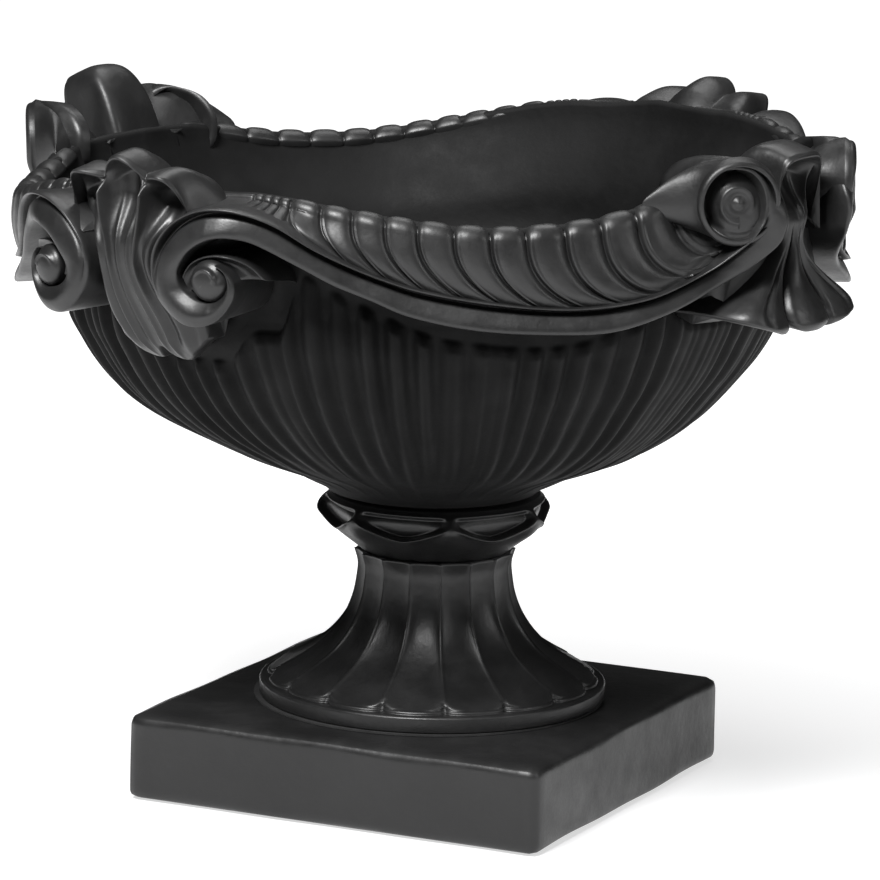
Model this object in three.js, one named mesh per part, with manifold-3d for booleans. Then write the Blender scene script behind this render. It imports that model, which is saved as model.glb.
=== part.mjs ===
// A cast urn planter: a fluted bowl with a scrolled, gadrooned rim and four corner leaves,
// on a fluted pedestal with a leaf collar, on a square plinth, held by one hollow centre tie.
// Millimetres, +Z up, origin at the middle of the plinth's underside.
import * as THREE from 'three';
import { mergeVertices } from 'three/addons/utils/BufferGeometryUtils.js';
import Module from 'manifold-3d';

const wasm = await Module();
wasm.setup();

// ---------- driving dimensions ----------
const BED_GAP = 0.4;             // space left between bedded castings
const BEDDING = 0.5;             // bed between the bowl and the mouldings on its rim
const PLINTH_SIDE = 330;
const PLINTH_HEIGHT = 64;
const PLINTH_EDGE = 8;
const BEAD_HEIGHT = 2;           // mortar bead between plinth and pedestal
const BEAD_PROUD = 1.6;
const RING_RADIUS = 128.4;       // foot ring of the pedestal
const RING_HEIGHT = 12;
const RING_LEDGE = 6.4;           // from the ring's edge to the ends of the flute tongues
const TONGUE_STEP = 2.4;
const WAIST_RADIUS = 57.5;
const WAIST_HEIGHT = 166;
const STEM_FLUTES = 16;
const STEM_FLUTE_DEPTH = 5;
const STEM_TOP = 176;            // height of the shoulder that carries the collar
const PEDESTAL_TURN = 7.6;       // degrees that the flutes and collar leaves sit turned on the plinth
const SPIGOT_RADIUS = 45;
const COLLAR_HEIGHT = 44;
const COLLAR_LEAVES = 7;
const COLLAR_POCKET = 9;
const GASKET_HEIGHT = 2;
const GASKET_RADIUS = 70;
const BOWL_TURN = -15.4;         // degrees that the bowl sits turned on the plinth
const BOWL_FLUTES = 84;
const FLUTE_DEPTH = 5;
const SEAT_RADIUS = 76;          // flat seat under the bowl
const SHOULDER_RADIUS = 267;     // fluted body under the rim
const SHOULDER_HEIGHT = 378;
const FLOOR_THICKNESS = 26;
const FLOOR_FLAT = 36;           // flat round land for the drain seal
const BOWL_WALL = 17;
const RIM_WALL = 12;
const CREST_LOW = 452.5;         // lowest and highest points of the crest
const CREST_HIGH = 479;
const CREST_NARROW = 226;        // crest radius at the rolled leaves
const CREST_WIDE = 293;          // crest radius at the broad leaves
const BAND_LOW = 398.5;          // lowest and highest points of the band's middle line
const BAND_HIGH = 452;
const FACE_MID = 291;            // rim face radius in the middle of a side
const FACE_CORNER = 328;         // rim face radius at a corner leaf
const FACE_BACKING = 24;         // thickness of the mouldings over the wall
const BAND_WIDTH = 22;
const VOLUTE_PROUD = 15;         // how much further the volutes stand out than the band
const BEAD_RELIEF = 5;
const LOW_EYE = 17;
const HIGH_EYE = 20;
const EYE_RELIEF = 9;
const LEAF_RIB = 1.6;
const LOBE_PITCH = 4.5;          // degrees from one gadroon to the next
const LOBE_RELIEF = 5;
const TIE_RADIUS = 11;
const TIE_CLEAR = 12;            // radius of the bores that the tie passes through
const TIE_BORE = 8;
const TIE_LOW = 14;
const TIE_PROUD = 6;
const NUT_FLATS = 36;
const NUT_HEIGHT = 12;
const WASHER_RADIUS = 27;
const WASHER_HEIGHT = 3;
const SEAL_RADIUS = 31;
const SEAL_HEIGHT = 4;
const RECESS_RADIUS = 36;
const RECESS_DEPTH = 34;

// ---------- heights that follow ----------
const PEDESTAL_LOW = PLINTH_HEIGHT + BEAD_HEIGHT;
const TONGUE_RADIUS = RING_RADIUS - RING_LEDGE;
const RING_TOP = PEDESTAL_LOW + RING_HEIGHT;
const TONGUE_TOP = RING_TOP + TONGUE_STEP;
const COLLAR_TOP = STEM_TOP + COLLAR_HEIGHT;
const BOWL_LOW = COLLAR_TOP + GASKET_HEIGHT;
const FLOOR_TOP = BOWL_LOW + FLOOR_THICKNESS;

const DEGREE = Math.PI / 180;
const lerp = (a, b, t) => a + (b - a) * t;
const clamp01 = (t) => Math.min(1, Math.max(0, t));
const smooth = (a, b, x) => {
  const t = clamp01((x - a) / (b - a));
  return t * t * (3 - 2 * t);
};

// A smooth curve y(x) through a few chosen points.
function through(knots) {
  const slope = (i) => {
    const a = knots[Math.max(0, i - 1)];
    const b = knots[Math.min(knots.length - 1, i + 1)];
    return (b[1] - a[1]) / (b[0] - a[0]);
  };
  return (x) => {
    let i = 0;
    while (i < knots.length - 2 && x > knots[i + 1][0]) i += 1;
    const [x0, y0] = knots[i];
    const [x1, y1] = knots[i + 1];
    const w = x1 - x0;
    const t = clamp01((x - x0) / w);
    const bend = (1 - t) * (1 - t) * t * w * slope(i) - t * t * (1 - t) * w * slope(i + 1);
    return lerp(y0, y1, t * t * (3 - 2 * t)) + bend;
  };
}

// A broken line y(x), used where two castings must share one faceted surface.
function alongLine(knots, x) {
  let i = 0;
  while (i < knots.length - 2 && x > knots[i + 1][0]) i += 1;
  const [x0, y0] = knots[i];
  const [x1, y1] = knots[i + 1];
  return lerp(y0, y1, clamp01((x - x0) / (x1 - x0)));
}

// ---------- shapes ----------
const castStone = (shade) => new THREE.MeshStandardMaterial({ color: shade, roughness: 0.6, metalness: 0 });
const CAST = castStone(0x2a2a2b);
const CAST_LIGHT = castStone(0x343435);
const MORTAR = castStone(0x3a3a3b);
const RUBBER = new THREE.MeshStandardMaterial({ color: 0x151515, roughness: 0.9, metalness: 0 });
const STEEL = new THREE.MeshStandardMaterial({ color: 0x8b8f94, roughness: 0.4, metalness: 1 });

// A point at an azimuth (degrees from -Y toward +X), a radius and a height.
function polar(azimuth, radius, z) {
  const a = azimuth * DEGREE;
  return [radius * Math.sin(a), -radius * Math.cos(a), z];
}

function fromGrid(loops, { ring = false } = {}) {
  // loops: closed loops of equally many points; ring joins the last loop to the first,
  // otherwise the two end loops are capped.
  const count = loops[0].length;
  const positions = loops.flat(2);
  const faces = [];
  const last = ring ? loops.length : loops.length - 1;
  for (let i = 0; i < last; i += 1) {
    const next = (i + 1) % loops.length;
    for (let j = 0; j < count; j += 1) {
      const k = (j + 1) % count;
      faces.push(i * count + j, next * count + j, next * count + k);
      faces.push(i * count + j, next * count + k, i * count + k);
    }
  }
  if (!ring) {
    capLoop(loops, 0, faces, true);
    capLoop(loops, loops.length - 1, faces, false);
  }
  const geometry = new THREE.BufferGeometry();
  geometry.setAttribute('position', new THREE.Float32BufferAttribute(positions, 3));
  geometry.setIndex(faces);
  return outward(geometry);
}

// Closes an end loop with a fan from its last point.
function capLoop(loops, which, faces, first) {
  const count = loops[which].length;
  const base = which * count;
  const hub = base + count - 1;
  for (let j = 0; j < count - 2; j += 1) {
    if (first) faces.push(hub, base + j, base + j + 1);
    else faces.push(hub, base + j + 1, base + j);
  }
}

function volumeOf(geometry) {
  const p = geometry.attributes.position;
  const index = geometry.index;
  const a = new THREE.Vector3();
  const b = new THREE.Vector3();
  const c = new THREE.Vector3();
  let volume = 0;
  for (let i = 0; i < index.count; i += 3) {
    a.fromBufferAttribute(p, index.getX(i));
    b.fromBufferAttribute(p, index.getX(i + 1));
    c.fromBufferAttribute(p, index.getX(i + 2));
    volume += a.dot(b.cross(c)) / 6;
  }
  return volume;
}

function outward(geometry) {
  if (volumeOf(geometry) < 0) {
    const index = geometry.index;
    for (let i = 0; i < index.count; i += 3) {
      const swap = index.getX(i);
      index.setX(i, index.getX(i + 2));
      index.setX(i + 2, swap);
    }
  }
  return geometry;
}

function toSolid(geometry) {
  const bare = geometry.clone();
  bare.deleteAttribute('normal');
  bare.deleteAttribute('uv');
  const merged = mergeVertices(bare, 1e-4);
  return new wasm.Manifold(new wasm.Mesh({
    numProp: 3,
    vertProperties: new Float32Array(merged.attributes.position.array),
    triVerts: new Uint32Array(merged.index.array),
  }));
}

function fromSolid(solid) {
  const mesh = solid.getMesh();
  const geometry = new THREE.BufferGeometry();
  geometry.setAttribute('position', new THREE.BufferAttribute(new Float32Array(mesh.vertProperties), 3));
  geometry.setIndex(new THREE.BufferAttribute(new Uint32Array(mesh.triVerts), 1));
  return geometry;
}

// A turned solid whose profile [radius, z] closes on itself.
function turned(profile, steps = 24) {
  const points = [...profile, profile[0]].map(([r, z]) => new THREE.Vector2(r, z));
  const geometry = new THREE.LatheGeometry(points, steps);
  geometry.rotateX(Math.PI / 2);
  geometry.deleteAttribute('normal');
  geometry.deleteAttribute('uv');
  return outward(mergeVertices(geometry, 1e-4));
}

function upright(radius, low, high, steps = 32) {
  const geometry = new THREE.CylinderGeometry(radius, radius, high - low, steps);
  geometry.rotateX(Math.PI / 2);
  geometry.translate(0, 0, (low + high) / 2);
  return geometry;
}

// ---------- plinth ----------
function plinth() {
  const half = PLINTH_SIDE / 2 - PLINTH_EDGE;
  const square = new THREE.Shape([
    new THREE.Vector2(-half, -half), new THREE.Vector2(half, -half),
    new THREE.Vector2(half, half), new THREE.Vector2(-half, half),
  ]);
  const slab = new THREE.ExtrudeGeometry(square, {
    depth: PLINTH_HEIGHT - 2 * PLINTH_EDGE,
    bevelEnabled: true,
    bevelThickness: PLINTH_EDGE,
    bevelSize: PLINTH_EDGE,
    bevelSegments: 4,
  });
  slab.translate(0, 0, PLINTH_EDGE);
  const bore = upright(TIE_CLEAR, -1, PLINTH_HEIGHT + 1);
  const recess = upright(RECESS_RADIUS, -1, RECESS_DEPTH);
  return fromSolid(toSolid(slab).subtract(toSolid(bore)).subtract(toSolid(recess)));
}

function plinthBead() {
  const low = PLINTH_HEIGHT + 0.3;
  const high = PEDESTAL_LOW - 0.3;
  const outer = RING_RADIUS + BEAD_PROUD;
  return turned([[outer - 24, low], [outer, low], [outer, high], [outer - 24, high]], 48);
}

// ---------- pedestal ----------
// Share of the way up to the waist, and share of the way in to its radius.
const STEM_CURVE = through([
  [0, 0], [0.085, 0.14], [0.23, 0.48], [0.37, 0.7], [0.52, 0.845], [0.7, 0.945], [0.88, 0.99], [1, 1],
]);
const stemRadius = (z) => {
  const share = clamp01((z - TONGUE_TOP) / (WAIST_HEIGHT - TONGUE_TOP));
  return lerp(TONGUE_RADIUS, WAIST_RADIUS, STEM_CURVE(share));
};
const stemFluteDepth = (z) => STEM_FLUTE_DEPTH * smooth(TONGUE_TOP, TONGUE_TOP + 20, z);

function pedestal() {
  const bore = TIE_CLEAR;
  const steps = STEM_FLUTES * 4;
  const heights = [TONGUE_TOP, 84, 92, 102, 116, 138, STEM_TOP];
  const loops = [];
  for (let i = 0; i < steps; i += 1) {
    const azimuth = (360 * i) / steps;
    const wave = 0.5 + 0.5 * Math.cos(azimuth * DEGREE * STEM_FLUTES);
    const scoop = Math.sqrt(wave);
    const tongue = TONGUE_RADIUS - 6 * (1 - wave);
    const loop = [[bore, PEDESTAL_LOW], [RING_RADIUS, PEDESTAL_LOW], [RING_RADIUS, RING_TOP], [tongue, RING_TOP]];
    for (const z of heights) {
      const start = z === TONGUE_TOP ? tongue : stemRadius(z);
      loop.push([start - scoop * stemFluteDepth(z), z]);
    }
    const spigotTop = COLLAR_TOP - 1;
    loop.push([SPIGOT_RADIUS, STEM_TOP], [SPIGOT_RADIUS, spigotTop], [bore, spigotTop]);
    loops.push(loop.map(([r, z]) => polar(azimuth, r, z)));
  }
  return fromGrid(loops, { ring: true });
}

// ---------- collar of drooping leaves ----------
function collar() {
  const steps = COLLAR_LEAVES * 8;
  const low = STEM_TOP + BED_GAP;
  const outline = [[57, 0], [66, 7], [80, 18], [87, 31], [84, 39], [77, COLLAR_HEIGHT - 1 - BED_GAP]];
  const loops = [];
  for (let i = 0; i < steps; i += 1) {
    const azimuth = (360 * i) / steps;
    const wave = 0.5 + 0.5 * Math.cos(azimuth * DEGREE * COLLAR_LEAVES);
    const loop = [[SPIGOT_RADIUS + BED_GAP, low]];
    for (const [r, rise] of outline) {
      const pocket = COLLAR_POCKET * wave * smooth(8, 26, rise) * (1 - smooth(34, 42, rise));
      loop.push([r - pocket, low + rise]);
    }
    loop.push([SPIGOT_RADIUS + BED_GAP, COLLAR_TOP - 1]);
    loops.push(loop.map(([r, z]) => polar(azimuth, r, z)));
  }
  return fromGrid(loops, { ring: true });
}

// ---------- rim geometry, in the bowl's own azimuth ----------
// Side azimuth runs 0 at a broad leaf to 90 at a rolled leaf, the same on all four sides.
function sideAzimuth(azimuth) {
  const turn = ((azimuth % 180) + 180) % 180;
  return turn <= 90 ? turn : 180 - turn;
}
const faceRadius = (side) => FACE_MID + (FACE_CORNER - FACE_MID) * Math.cos(2 * side * DEGREE) ** 2;
const CREST_WAVE = through([
  [0, 1], [16, 0.98], [26, 0.7], [35, 0.43], [46, 0.115], [59, 0], [72, 0.075], [84, 0.36], [90, 0.51],
]);
const CREST_PLAN = through([
  [0, 1], [14, 0.97], [24, 0.866], [35, 0.687], [46, 0.373], [58, 0.134], [74, 0.015], [90, 0],
]);
const BAND_WAVE = through([
  [0, 0.78], [15, 1], [22, 0.963], [30, 0.533], [40, 0.178], [57, 0], [68, 0.084], [78, 0.589], [90, 0.888],
]);
const crestHeight = (side) => lerp(CREST_LOW, CREST_HIGH, CREST_WAVE(side));
const crestRadius = (side) => lerp(CREST_NARROW, CREST_WIDE, CREST_PLAN(side));
const bandLevel = (side) => lerp(BAND_LOW, BAND_HIGH, BAND_WAVE(side));

// The fluted body: share of its height, and share of the shoulder's radius.
const BODY_CURVE = through([
  [0.026, 0.307], [0.115, 0.42], [0.21, 0.566], [0.34, 0.704], [0.5, 0.824], [0.69, 0.918], [0.885, 0.978], [1, 1],
]);
const bowlRadius = (z) => SHOULDER_RADIUS * BODY_CURVE((z - BOWL_LOW) / (SHOULDER_HEIGHT - BOWL_LOW));
const bowlInside = (z) => bowlRadius(z - 0.8 * BOWL_WALL) - 0.6 * BOWL_WALL;

// Outer face of the bowl's wall at one side azimuth, as [z, radius] corners.
function wallLine(side) {
  const high = bandLevel(side) - 8;
  return [
    [SHOULDER_HEIGHT, bowlRadius(SHOULDER_HEIGHT)],
    [high, faceRadius(side) - FACE_BACKING],
    [crestHeight(side), crestRadius(side) - 3],
  ];
}
const wallRadius = (side, z) => alongLine(wallLine(side), z);

const crestInner = (side) => crestRadius(side) - RIM_WALL - 3;

const BODY_RISES = [4, 22, 48, 96];

// The bowl's outside: a fluted body up to the wall that carries the mouldings, closed over the top.
function bowlBody() {
  const steps = BOWL_FLUTES * 2;
  const loops = [];
  for (let i = 0; i < steps; i += 1) {
    const azimuth = (360 * i) / steps;
    const side = sideAzimuth(azimuth);
    const groove = i % 2;
    const loop = [[TIE_CLEAR, BOWL_LOW], [SEAT_RADIUS, BOWL_LOW]];
    for (const rise of BODY_RISES) {
      const z = BOWL_LOW + rise;
      const depth = FLUTE_DEPTH * smooth(0, 53, rise);
      loop.push([bowlRadius(z) - groove * depth, z]);
    }
    for (const [z, r] of wallLine(side)) loop.push([r, z]);
    loop.push([crestInner(side) - 6, crestHeight(side)]);
    loops.push(loop.map(([r, z]) => polar(azimuth, r, z)));
  }
  return fromGrid(loops, { ring: true });
}

const HOLLOW_RISES = [38, 68, 118];

// The hollow that is cut from the body: open at the top, with a flat round land on the floor.
function bowlHollow() {
  const steps = 48;
  const loops = [];
  for (let i = 0; i < steps; i += 1) {
    const azimuth = (360 * i) / steps;
    const side = sideAzimuth(azimuth);
    const band = Math.min(faceRadius(side) - FACE_BACKING - BOWL_WALL, crestRadius(side) - 9);
    const loop = [[TIE_CLEAR / 2, FLOOR_TOP], [FLOOR_FLAT, FLOOR_TOP]];
    for (const rise of HOLLOW_RISES) loop.push([bowlInside(BOWL_LOW + rise), BOWL_LOW + rise]);
    const mouth = CREST_HIGH + 20;
    loop.push([band, bandLevel(side) - 14], [crestInner(side), crestHeight(side) + 8], [TIE_CLEAR / 2, mouth]);
    loops.push(loop.map(([r, z]) => polar(azimuth, r, z)));
  }
  return fromGrid(loops, { ring: true });
}

function bowl() {
  return fromSolid(toSolid(bowlBody()).subtract(toSolid(bowlHollow())));
}

// ---------- scrolled side of the rim ----------
const LOW_VOLUTE = { side: 13.2, z: 423.5, radius: 40, end: 18 };
const HIGH_VOLUTE = { side: 78.2, z: 474, radius: 43, end: 16 };
const SCROLL_TURN = 300;         // degrees that each end of the band curls round
const BAND_STATIONS = 32;
const ROUTE = [22, 30, 39, 48, 57, 65, 73];
const unroll = (side) => side * DEGREE * FACE_CORNER;

// Middle line of the S-scroll on the unrolled rim face: [distance round the rim, height].
function scrollRoute() {
  const points = [];
  const turn = 8;
  const spiral = ({ side, z, radius, end }, from, t) => {
    const angle = (from + SCROLL_TURN * t) * DEGREE;
    const r = lerp(radius, end, t);
    points.push([unroll(side) + r * Math.cos(angle), z + r * Math.sin(angle)]);
  };
  for (let i = turn; i > 0; i -= 1) spiral(LOW_VOLUTE, 70, i / turn);
  for (const side of ROUTE) points.push([unroll(side), bandLevel(side)]);
  for (let i = 1; i <= turn; i += 1) spiral(HIGH_VOLUTE, -60, i / turn);
  const curve = new THREE.CatmullRomCurve3(points.map(([u, z]) => new THREE.Vector3(u, z, 0)));
  return curve.getPoints(BAND_STATIONS).map((p) => [p.x, p.y]);
}

// Section across the band: share of the half width, and height over the rim face.
const BAND_SECTION = [[-1, -3], [-0.6, 4], [0.2, 4], [0.5, 1], [0.65, BEAD_RELIEF], [1, BEAD_RELIEF]];

function band() {
  const route = scrollRoute();
  const loops = route.map(([u, z], i) => {
    const before = route[Math.max(0, i - 1)];
    const after = route[Math.min(route.length - 1, i + 1)];
    const run = Math.hypot(after[0] - before[0], after[1] - before[1]);
    const across = [-(after[1] - before[1]) / run, (after[0] - before[0]) / run];
    const share = i / (route.length - 1);
    const half = (BAND_WIDTH / 2) * (0.6 + 0.4 * Math.sin(Math.PI * share) ** 0.4);
    const proud = VOLUTE_PROUD * (1 - smooth(0.12, 0.34, share) + smooth(0.66, 0.88, share));
    const place = (b) => [(u + across[0] * half * b) / (DEGREE * FACE_CORNER), z + across[1] * half * b];
    const near = BAND_SECTION.map(([b, n]) => {
      const [side, h] = place(b);
      return polar(side, faceRadius(side) + proud + n, h);
    });
    const far = [1, -1].map((b) => {
      const [side, h] = place(b);
      return polar(side, rootRadius(side, h), h);
    });
    return [...near, ...far];
  });
  return fromGrid(loops);
}

// How far in a casting laid on the bowl starts, before it is cut to the wall and the crest.
function rootRadius(side, z) {
  const turn = sideAzimuth(side);
  if (z > crestHeight(turn)) return crestRadius(turn) - RIM_WALL;
  return Math.min(faceRadius(turn) - FACE_BACKING, crestRadius(turn)) - 6;
}

// The bowl's upper wall and crest, grown by the bedding gap: what is cut from the mouldings.
function wallClearance() {
  const steps = BOWL_FLUTES * 2;
  const loops = [];
  for (let i = 0; i < steps; i += 1) {
    const azimuth = (360 * i) / steps;
    const side = sideAzimuth(azimuth);
    const wall = wallLine(side).map(([z, r]) => [r + BEDDING, z]);
    const crest = crestHeight(side) + BEDDING;
    const inner = crestRadius(side) - 80;
    const low = [[inner, SHOULDER_HEIGHT - 30], [bowlRadius(SHOULDER_HEIGHT - 30) + BEDDING, SHOULDER_HEIGHT - 30]];
    const loop = [...low, ...wall.slice(0, 2), [wall[2][0], crest], [inner, crest]];
    loops.push(loop.map(([r, z]) => polar(azimuth, r, z)));
  }
  return toSolid(fromGrid(loops, { ring: true }));
}
const clearance = wallClearance();

// Joins the forms of a casting, cuts it to the bowl that it lies on, and keeps its main body.
function beddedOnBowl(parts, place = new THREE.Matrix4()) {
  const placed = parts.map((part) => outward(part.applyMatrix4(place)));
  const whole = placed.map(toSolid).reduce((sum, part) => sum.add(part));
  const bodies = whole.subtract(clearance).decompose();
  bodies.sort((p, q) => q.volume() - p.volume());
  return fromSolid(bodies[0]);
}

// The gadrooned strip between the band's bead and the crest.
function gadroonStrip() {
  const first = 20;
  const last = 76;
  const steps = Math.round(((last - first) / LOBE_PITCH) * 2);
  const loops = [];
  for (let i = 0; i <= steps; i += 1) {
    const side = lerp(first, last, i / steps);
    const low = bandLevel(side) - 2;
    const high = crestHeight(side);
    const front = [];
    for (let j = 0; j <= 3; j += 1) {
      const t = j / 3;
      const lean = lerp(faceRadius(side) + 1, crestRadius(side) - 1, t);
      const lobe = Math.abs(Math.sin((side / LOBE_PITCH + 0.5 * t * t) * Math.PI));
      const swell = 9 * Math.sin(Math.PI * t) + LOBE_RELIEF * (lobe - 1) * (1 - 0.6 * Math.abs(2 * t - 1));
      front.push([lean + swell, lerp(low, high, t)]);
    }
    const back = [[crestRadius(side) - 6, high], [rootRadius(side, low), low]];
    loops.push([...front, ...back].map(([r, z]) => polar(side, r, z)));
  }
  return fromGrid(loops);
}

// A round boss on the rim face: the domed eye of a volute.
function voluteEye({ side, z }, radius, relief) {
  const rows = 5;
  const loops = [];
  for (let i = 0; i <= rows; i += 1) {
    const rise = radius * Math.cos((Math.PI * (i + 0.3)) / (rows + 0.6));
    const half = Math.sqrt(radius * radius - rise * rise);
    const front = [];
    for (let j = 0; j <= 4; j += 1) {
      const across = half * Math.sin((Math.PI / 2) * (j / 2 - 1));
      const dome = relief * (1 - (Math.hypot(across, rise) / radius) ** 2);
      front.push([side + across / (DEGREE * FACE_CORNER), dome]);
    }
    const near = front.map(([a, n]) => polar(a, faceRadius(a) + VOLUTE_PROUD + n, z + rise));
    const far = [front[4], front[0]].map(([a]) => polar(a, rootRadius(a, z + rise), z + rise));
    loops.push([...near, ...far]);
  }
  return fromGrid(loops);
}

function rimScroll(place) {
  const eyes = [voluteEye(LOW_VOLUTE, LOW_EYE, EYE_RELIEF), voluteEye(HIGH_VOLUTE, HIGH_EYE, EYE_RELIEF)];
  return beddedOnBowl([band(), gadroonStrip(), ...eyes], place);
}

// ---------- corner leaves ----------
// Each row: height, half width, face offset, how far the row's middle stands proud.
const BROAD_LEAF = [
  [358, 12, -38, 6], [364, 24, -26, 9], [378, 28, -14, 10], [396, 22, -5, 9], [412, 14, -2, 7], [428, 10, -1, 6],
  [444, 14, 0, 6], [460, 26, 2, 5], [474, 38, 6, 5], [484, 52, 9, 6], [494, 54, 9, 6], [503, 40, -4, 5],
];
const ROLLED_LEAF = [
  [381, 36, -18, 8], [388, 46, -10, 10], [400, 42, -6, 11], [414, 28, -4, 9], [430, 13, -2, 7], [442, 10, -2, 6],
  [456, 10, -1, 5], [470, 10, 3, 3], [482, 12, 8, 2], [493, 20, 12, 3], [503, 33, 9, 6], [511, 31, -8, 6],
];

function cornerLeaf(rows, corner, ribs) {
  const across = 8;
  const loops = rows.map(([z, half, offset, proud]) => {
    const near = [];
    for (let j = 0; j <= across; j += 1) {
      const t = j / across - 0.5;
      const side = corner + (2 * t * half) / (DEGREE * FACE_CORNER);
      const rib = LEAF_RIB * Math.cos(2 * Math.PI * ribs * t);
      const radius = faceRadius(sideAzimuth(side)) + offset + proud * Math.cos(Math.PI * t) + rib;
      near.push(polar(side, radius, z));
    }
    const far = [1, -1].map((end) => {
      const side = corner + (end * half) / (DEGREE * FACE_CORNER);
      return polar(side, rootRadius(side, z), z);
    });
    return [...near, ...far];
  });
  return beddedOnBowl([fromGrid(loops)]);
}

// ---------- centre tie ----------
function nut(low) {
  const outer = new THREE.CylinderGeometry(NUT_FLATS / Math.sqrt(3), NUT_FLATS / Math.sqrt(3), NUT_HEIGHT, 6);
  outer.rotateX(Math.PI / 2);
  outer.translate(0, 0, low + NUT_HEIGHT / 2);
  const hole = upright(TIE_RADIUS + 0.3, low - 1, low + NUT_HEIGHT + 1);
  return fromSolid(toSolid(outer).subtract(toSolid(hole)));
}

const flatRing = (inner, outer, low, high) => turned([[inner, low], [outer, low], [outer, high], [inner, high]]);

// ---------- assembly ----------
const urn = new THREE.Group();
const pedestalGroup = new THREE.Group();
const bowlGroup = new THREE.Group();
pedestalGroup.rotation.z = PEDESTAL_TURN * DEGREE;
bowlGroup.rotation.z = BOWL_TURN * DEGREE;
urn.add(pedestalGroup, bowlGroup);

function add(parent, name, geometry, material) {
  const mesh = new THREE.Mesh(geometry, material);
  mesh.name = name;
  parent.add(mesh);
  return mesh;
}

add(urn, 'plinth', plinth(), CAST);
add(urn, 'plinth_bead', plinthBead(), MORTAR);
add(pedestalGroup, 'pedestal', pedestal(), CAST);
add(pedestalGroup, 'leaf_collar', collar(), CAST_LIGHT);
add(urn, 'bowl_gasket', flatRing(SPIGOT_RADIUS, GASKET_RADIUS, COLLAR_TOP - 0.7, BOWL_LOW - 0.3), RUBBER);
add(bowlGroup, 'bowl', bowl(), CAST);

// Neighbouring sides mirror each other across the leaf between them.
for (let i = 0; i < 4; i += 1) {
  const place = new THREE.Matrix4().makeRotationZ(i === 1 || i === 2 ? Math.PI : 0);
  if (i % 2 === 1) place.multiply(new THREE.Matrix4().makeScale(-1, 1, 1));
  add(bowlGroup, `rim_scroll_${i + 1}`, rimScroll(place), CAST_LIGHT);
}
add(bowlGroup, 'broad_leaf_front', cornerLeaf(BROAD_LEAF, 0, 3), CAST);
add(bowlGroup, 'broad_leaf_back', cornerLeaf(BROAD_LEAF, 180, 3), CAST);
add(bowlGroup, 'rolled_leaf_right', cornerLeaf(ROLLED_LEAF, 90, 2), CAST);
add(bowlGroup, 'rolled_leaf_left', cornerLeaf(ROLLED_LEAF, 270, 2), CAST);

const sealLow = FLOOR_TOP + 0.6;
const washerLow = sealLow + SEAL_HEIGHT + 0.3;
const nutLow = washerLow + WASHER_HEIGHT + 0.3;
const tieTop = nutLow + NUT_HEIGHT + TIE_PROUD;
const lowWasher = RECESS_DEPTH - 0.3 - WASHER_HEIGHT;
const lowNut = lowWasher - 0.3 - NUT_HEIGHT;
const hole = TIE_RADIUS + 0.3;
add(urn, 'tie_tube', flatRing(TIE_BORE, TIE_RADIUS, TIE_LOW, tieTop), STEEL);
add(urn, 'drain_seal', flatRing(hole, SEAL_RADIUS, sealLow, sealLow + SEAL_HEIGHT), RUBBER);
add(urn, 'upper_washer', flatRing(hole, WASHER_RADIUS, washerLow, washerLow + WASHER_HEIGHT), STEEL);
add(urn, 'upper_nut', nut(nutLow), STEEL);
add(urn, 'lower_washer', flatRing(hole, WASHER_RADIUS, lowWasher, lowWasher + WASHER_HEIGHT), STEEL);
add(urn, 'lower_nut', nut(lowNut), STEEL);

export default urn;
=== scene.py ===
# %% [markdown]
# # A cast urn planter
# The object is a garden urn cast in dark stone: a fluted bowl under a scrolled rim, a slim fluted
# pedestal with a collar of drooping leaves, and a square plinth. A fixed frame of solids gives every
# size. This lesson dresses that frame: it carves the visible surface of each casting as a fine mesh,
# gives it a stone finish, and sets up a camera and soft lights.

# %% Load the frame
import math
import bpy
import numpy as np
from mathutils import Matrix, Vector


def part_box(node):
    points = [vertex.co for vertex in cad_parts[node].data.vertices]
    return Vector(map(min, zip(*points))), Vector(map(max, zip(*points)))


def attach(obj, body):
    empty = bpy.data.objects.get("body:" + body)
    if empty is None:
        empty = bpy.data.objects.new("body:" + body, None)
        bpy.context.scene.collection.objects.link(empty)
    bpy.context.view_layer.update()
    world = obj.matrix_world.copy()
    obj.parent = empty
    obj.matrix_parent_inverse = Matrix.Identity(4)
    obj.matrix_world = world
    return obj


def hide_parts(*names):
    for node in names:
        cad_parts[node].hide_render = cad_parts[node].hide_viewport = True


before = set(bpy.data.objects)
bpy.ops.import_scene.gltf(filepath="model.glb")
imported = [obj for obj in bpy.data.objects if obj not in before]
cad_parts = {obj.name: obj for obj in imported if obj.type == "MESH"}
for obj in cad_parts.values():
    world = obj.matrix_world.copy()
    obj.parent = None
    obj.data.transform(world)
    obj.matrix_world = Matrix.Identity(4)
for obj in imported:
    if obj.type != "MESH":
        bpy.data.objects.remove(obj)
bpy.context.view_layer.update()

# %% [markdown]
# ## Sizes
# Everything is worked out in millimetres, as a mason would, and written to the meshes in metres.
# Heights that the frame already holds are read from its boxes, so the carving meets its neighbours.

# %% Heights from the frame
MM = 0.001


def low(node):
    """Height of a node's lowest point in millimetres."""
    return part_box(node)[0].z / MM


def high(node):
    """Height of a node's highest point in millimetres."""
    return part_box(node)[1].z / MM


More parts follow.
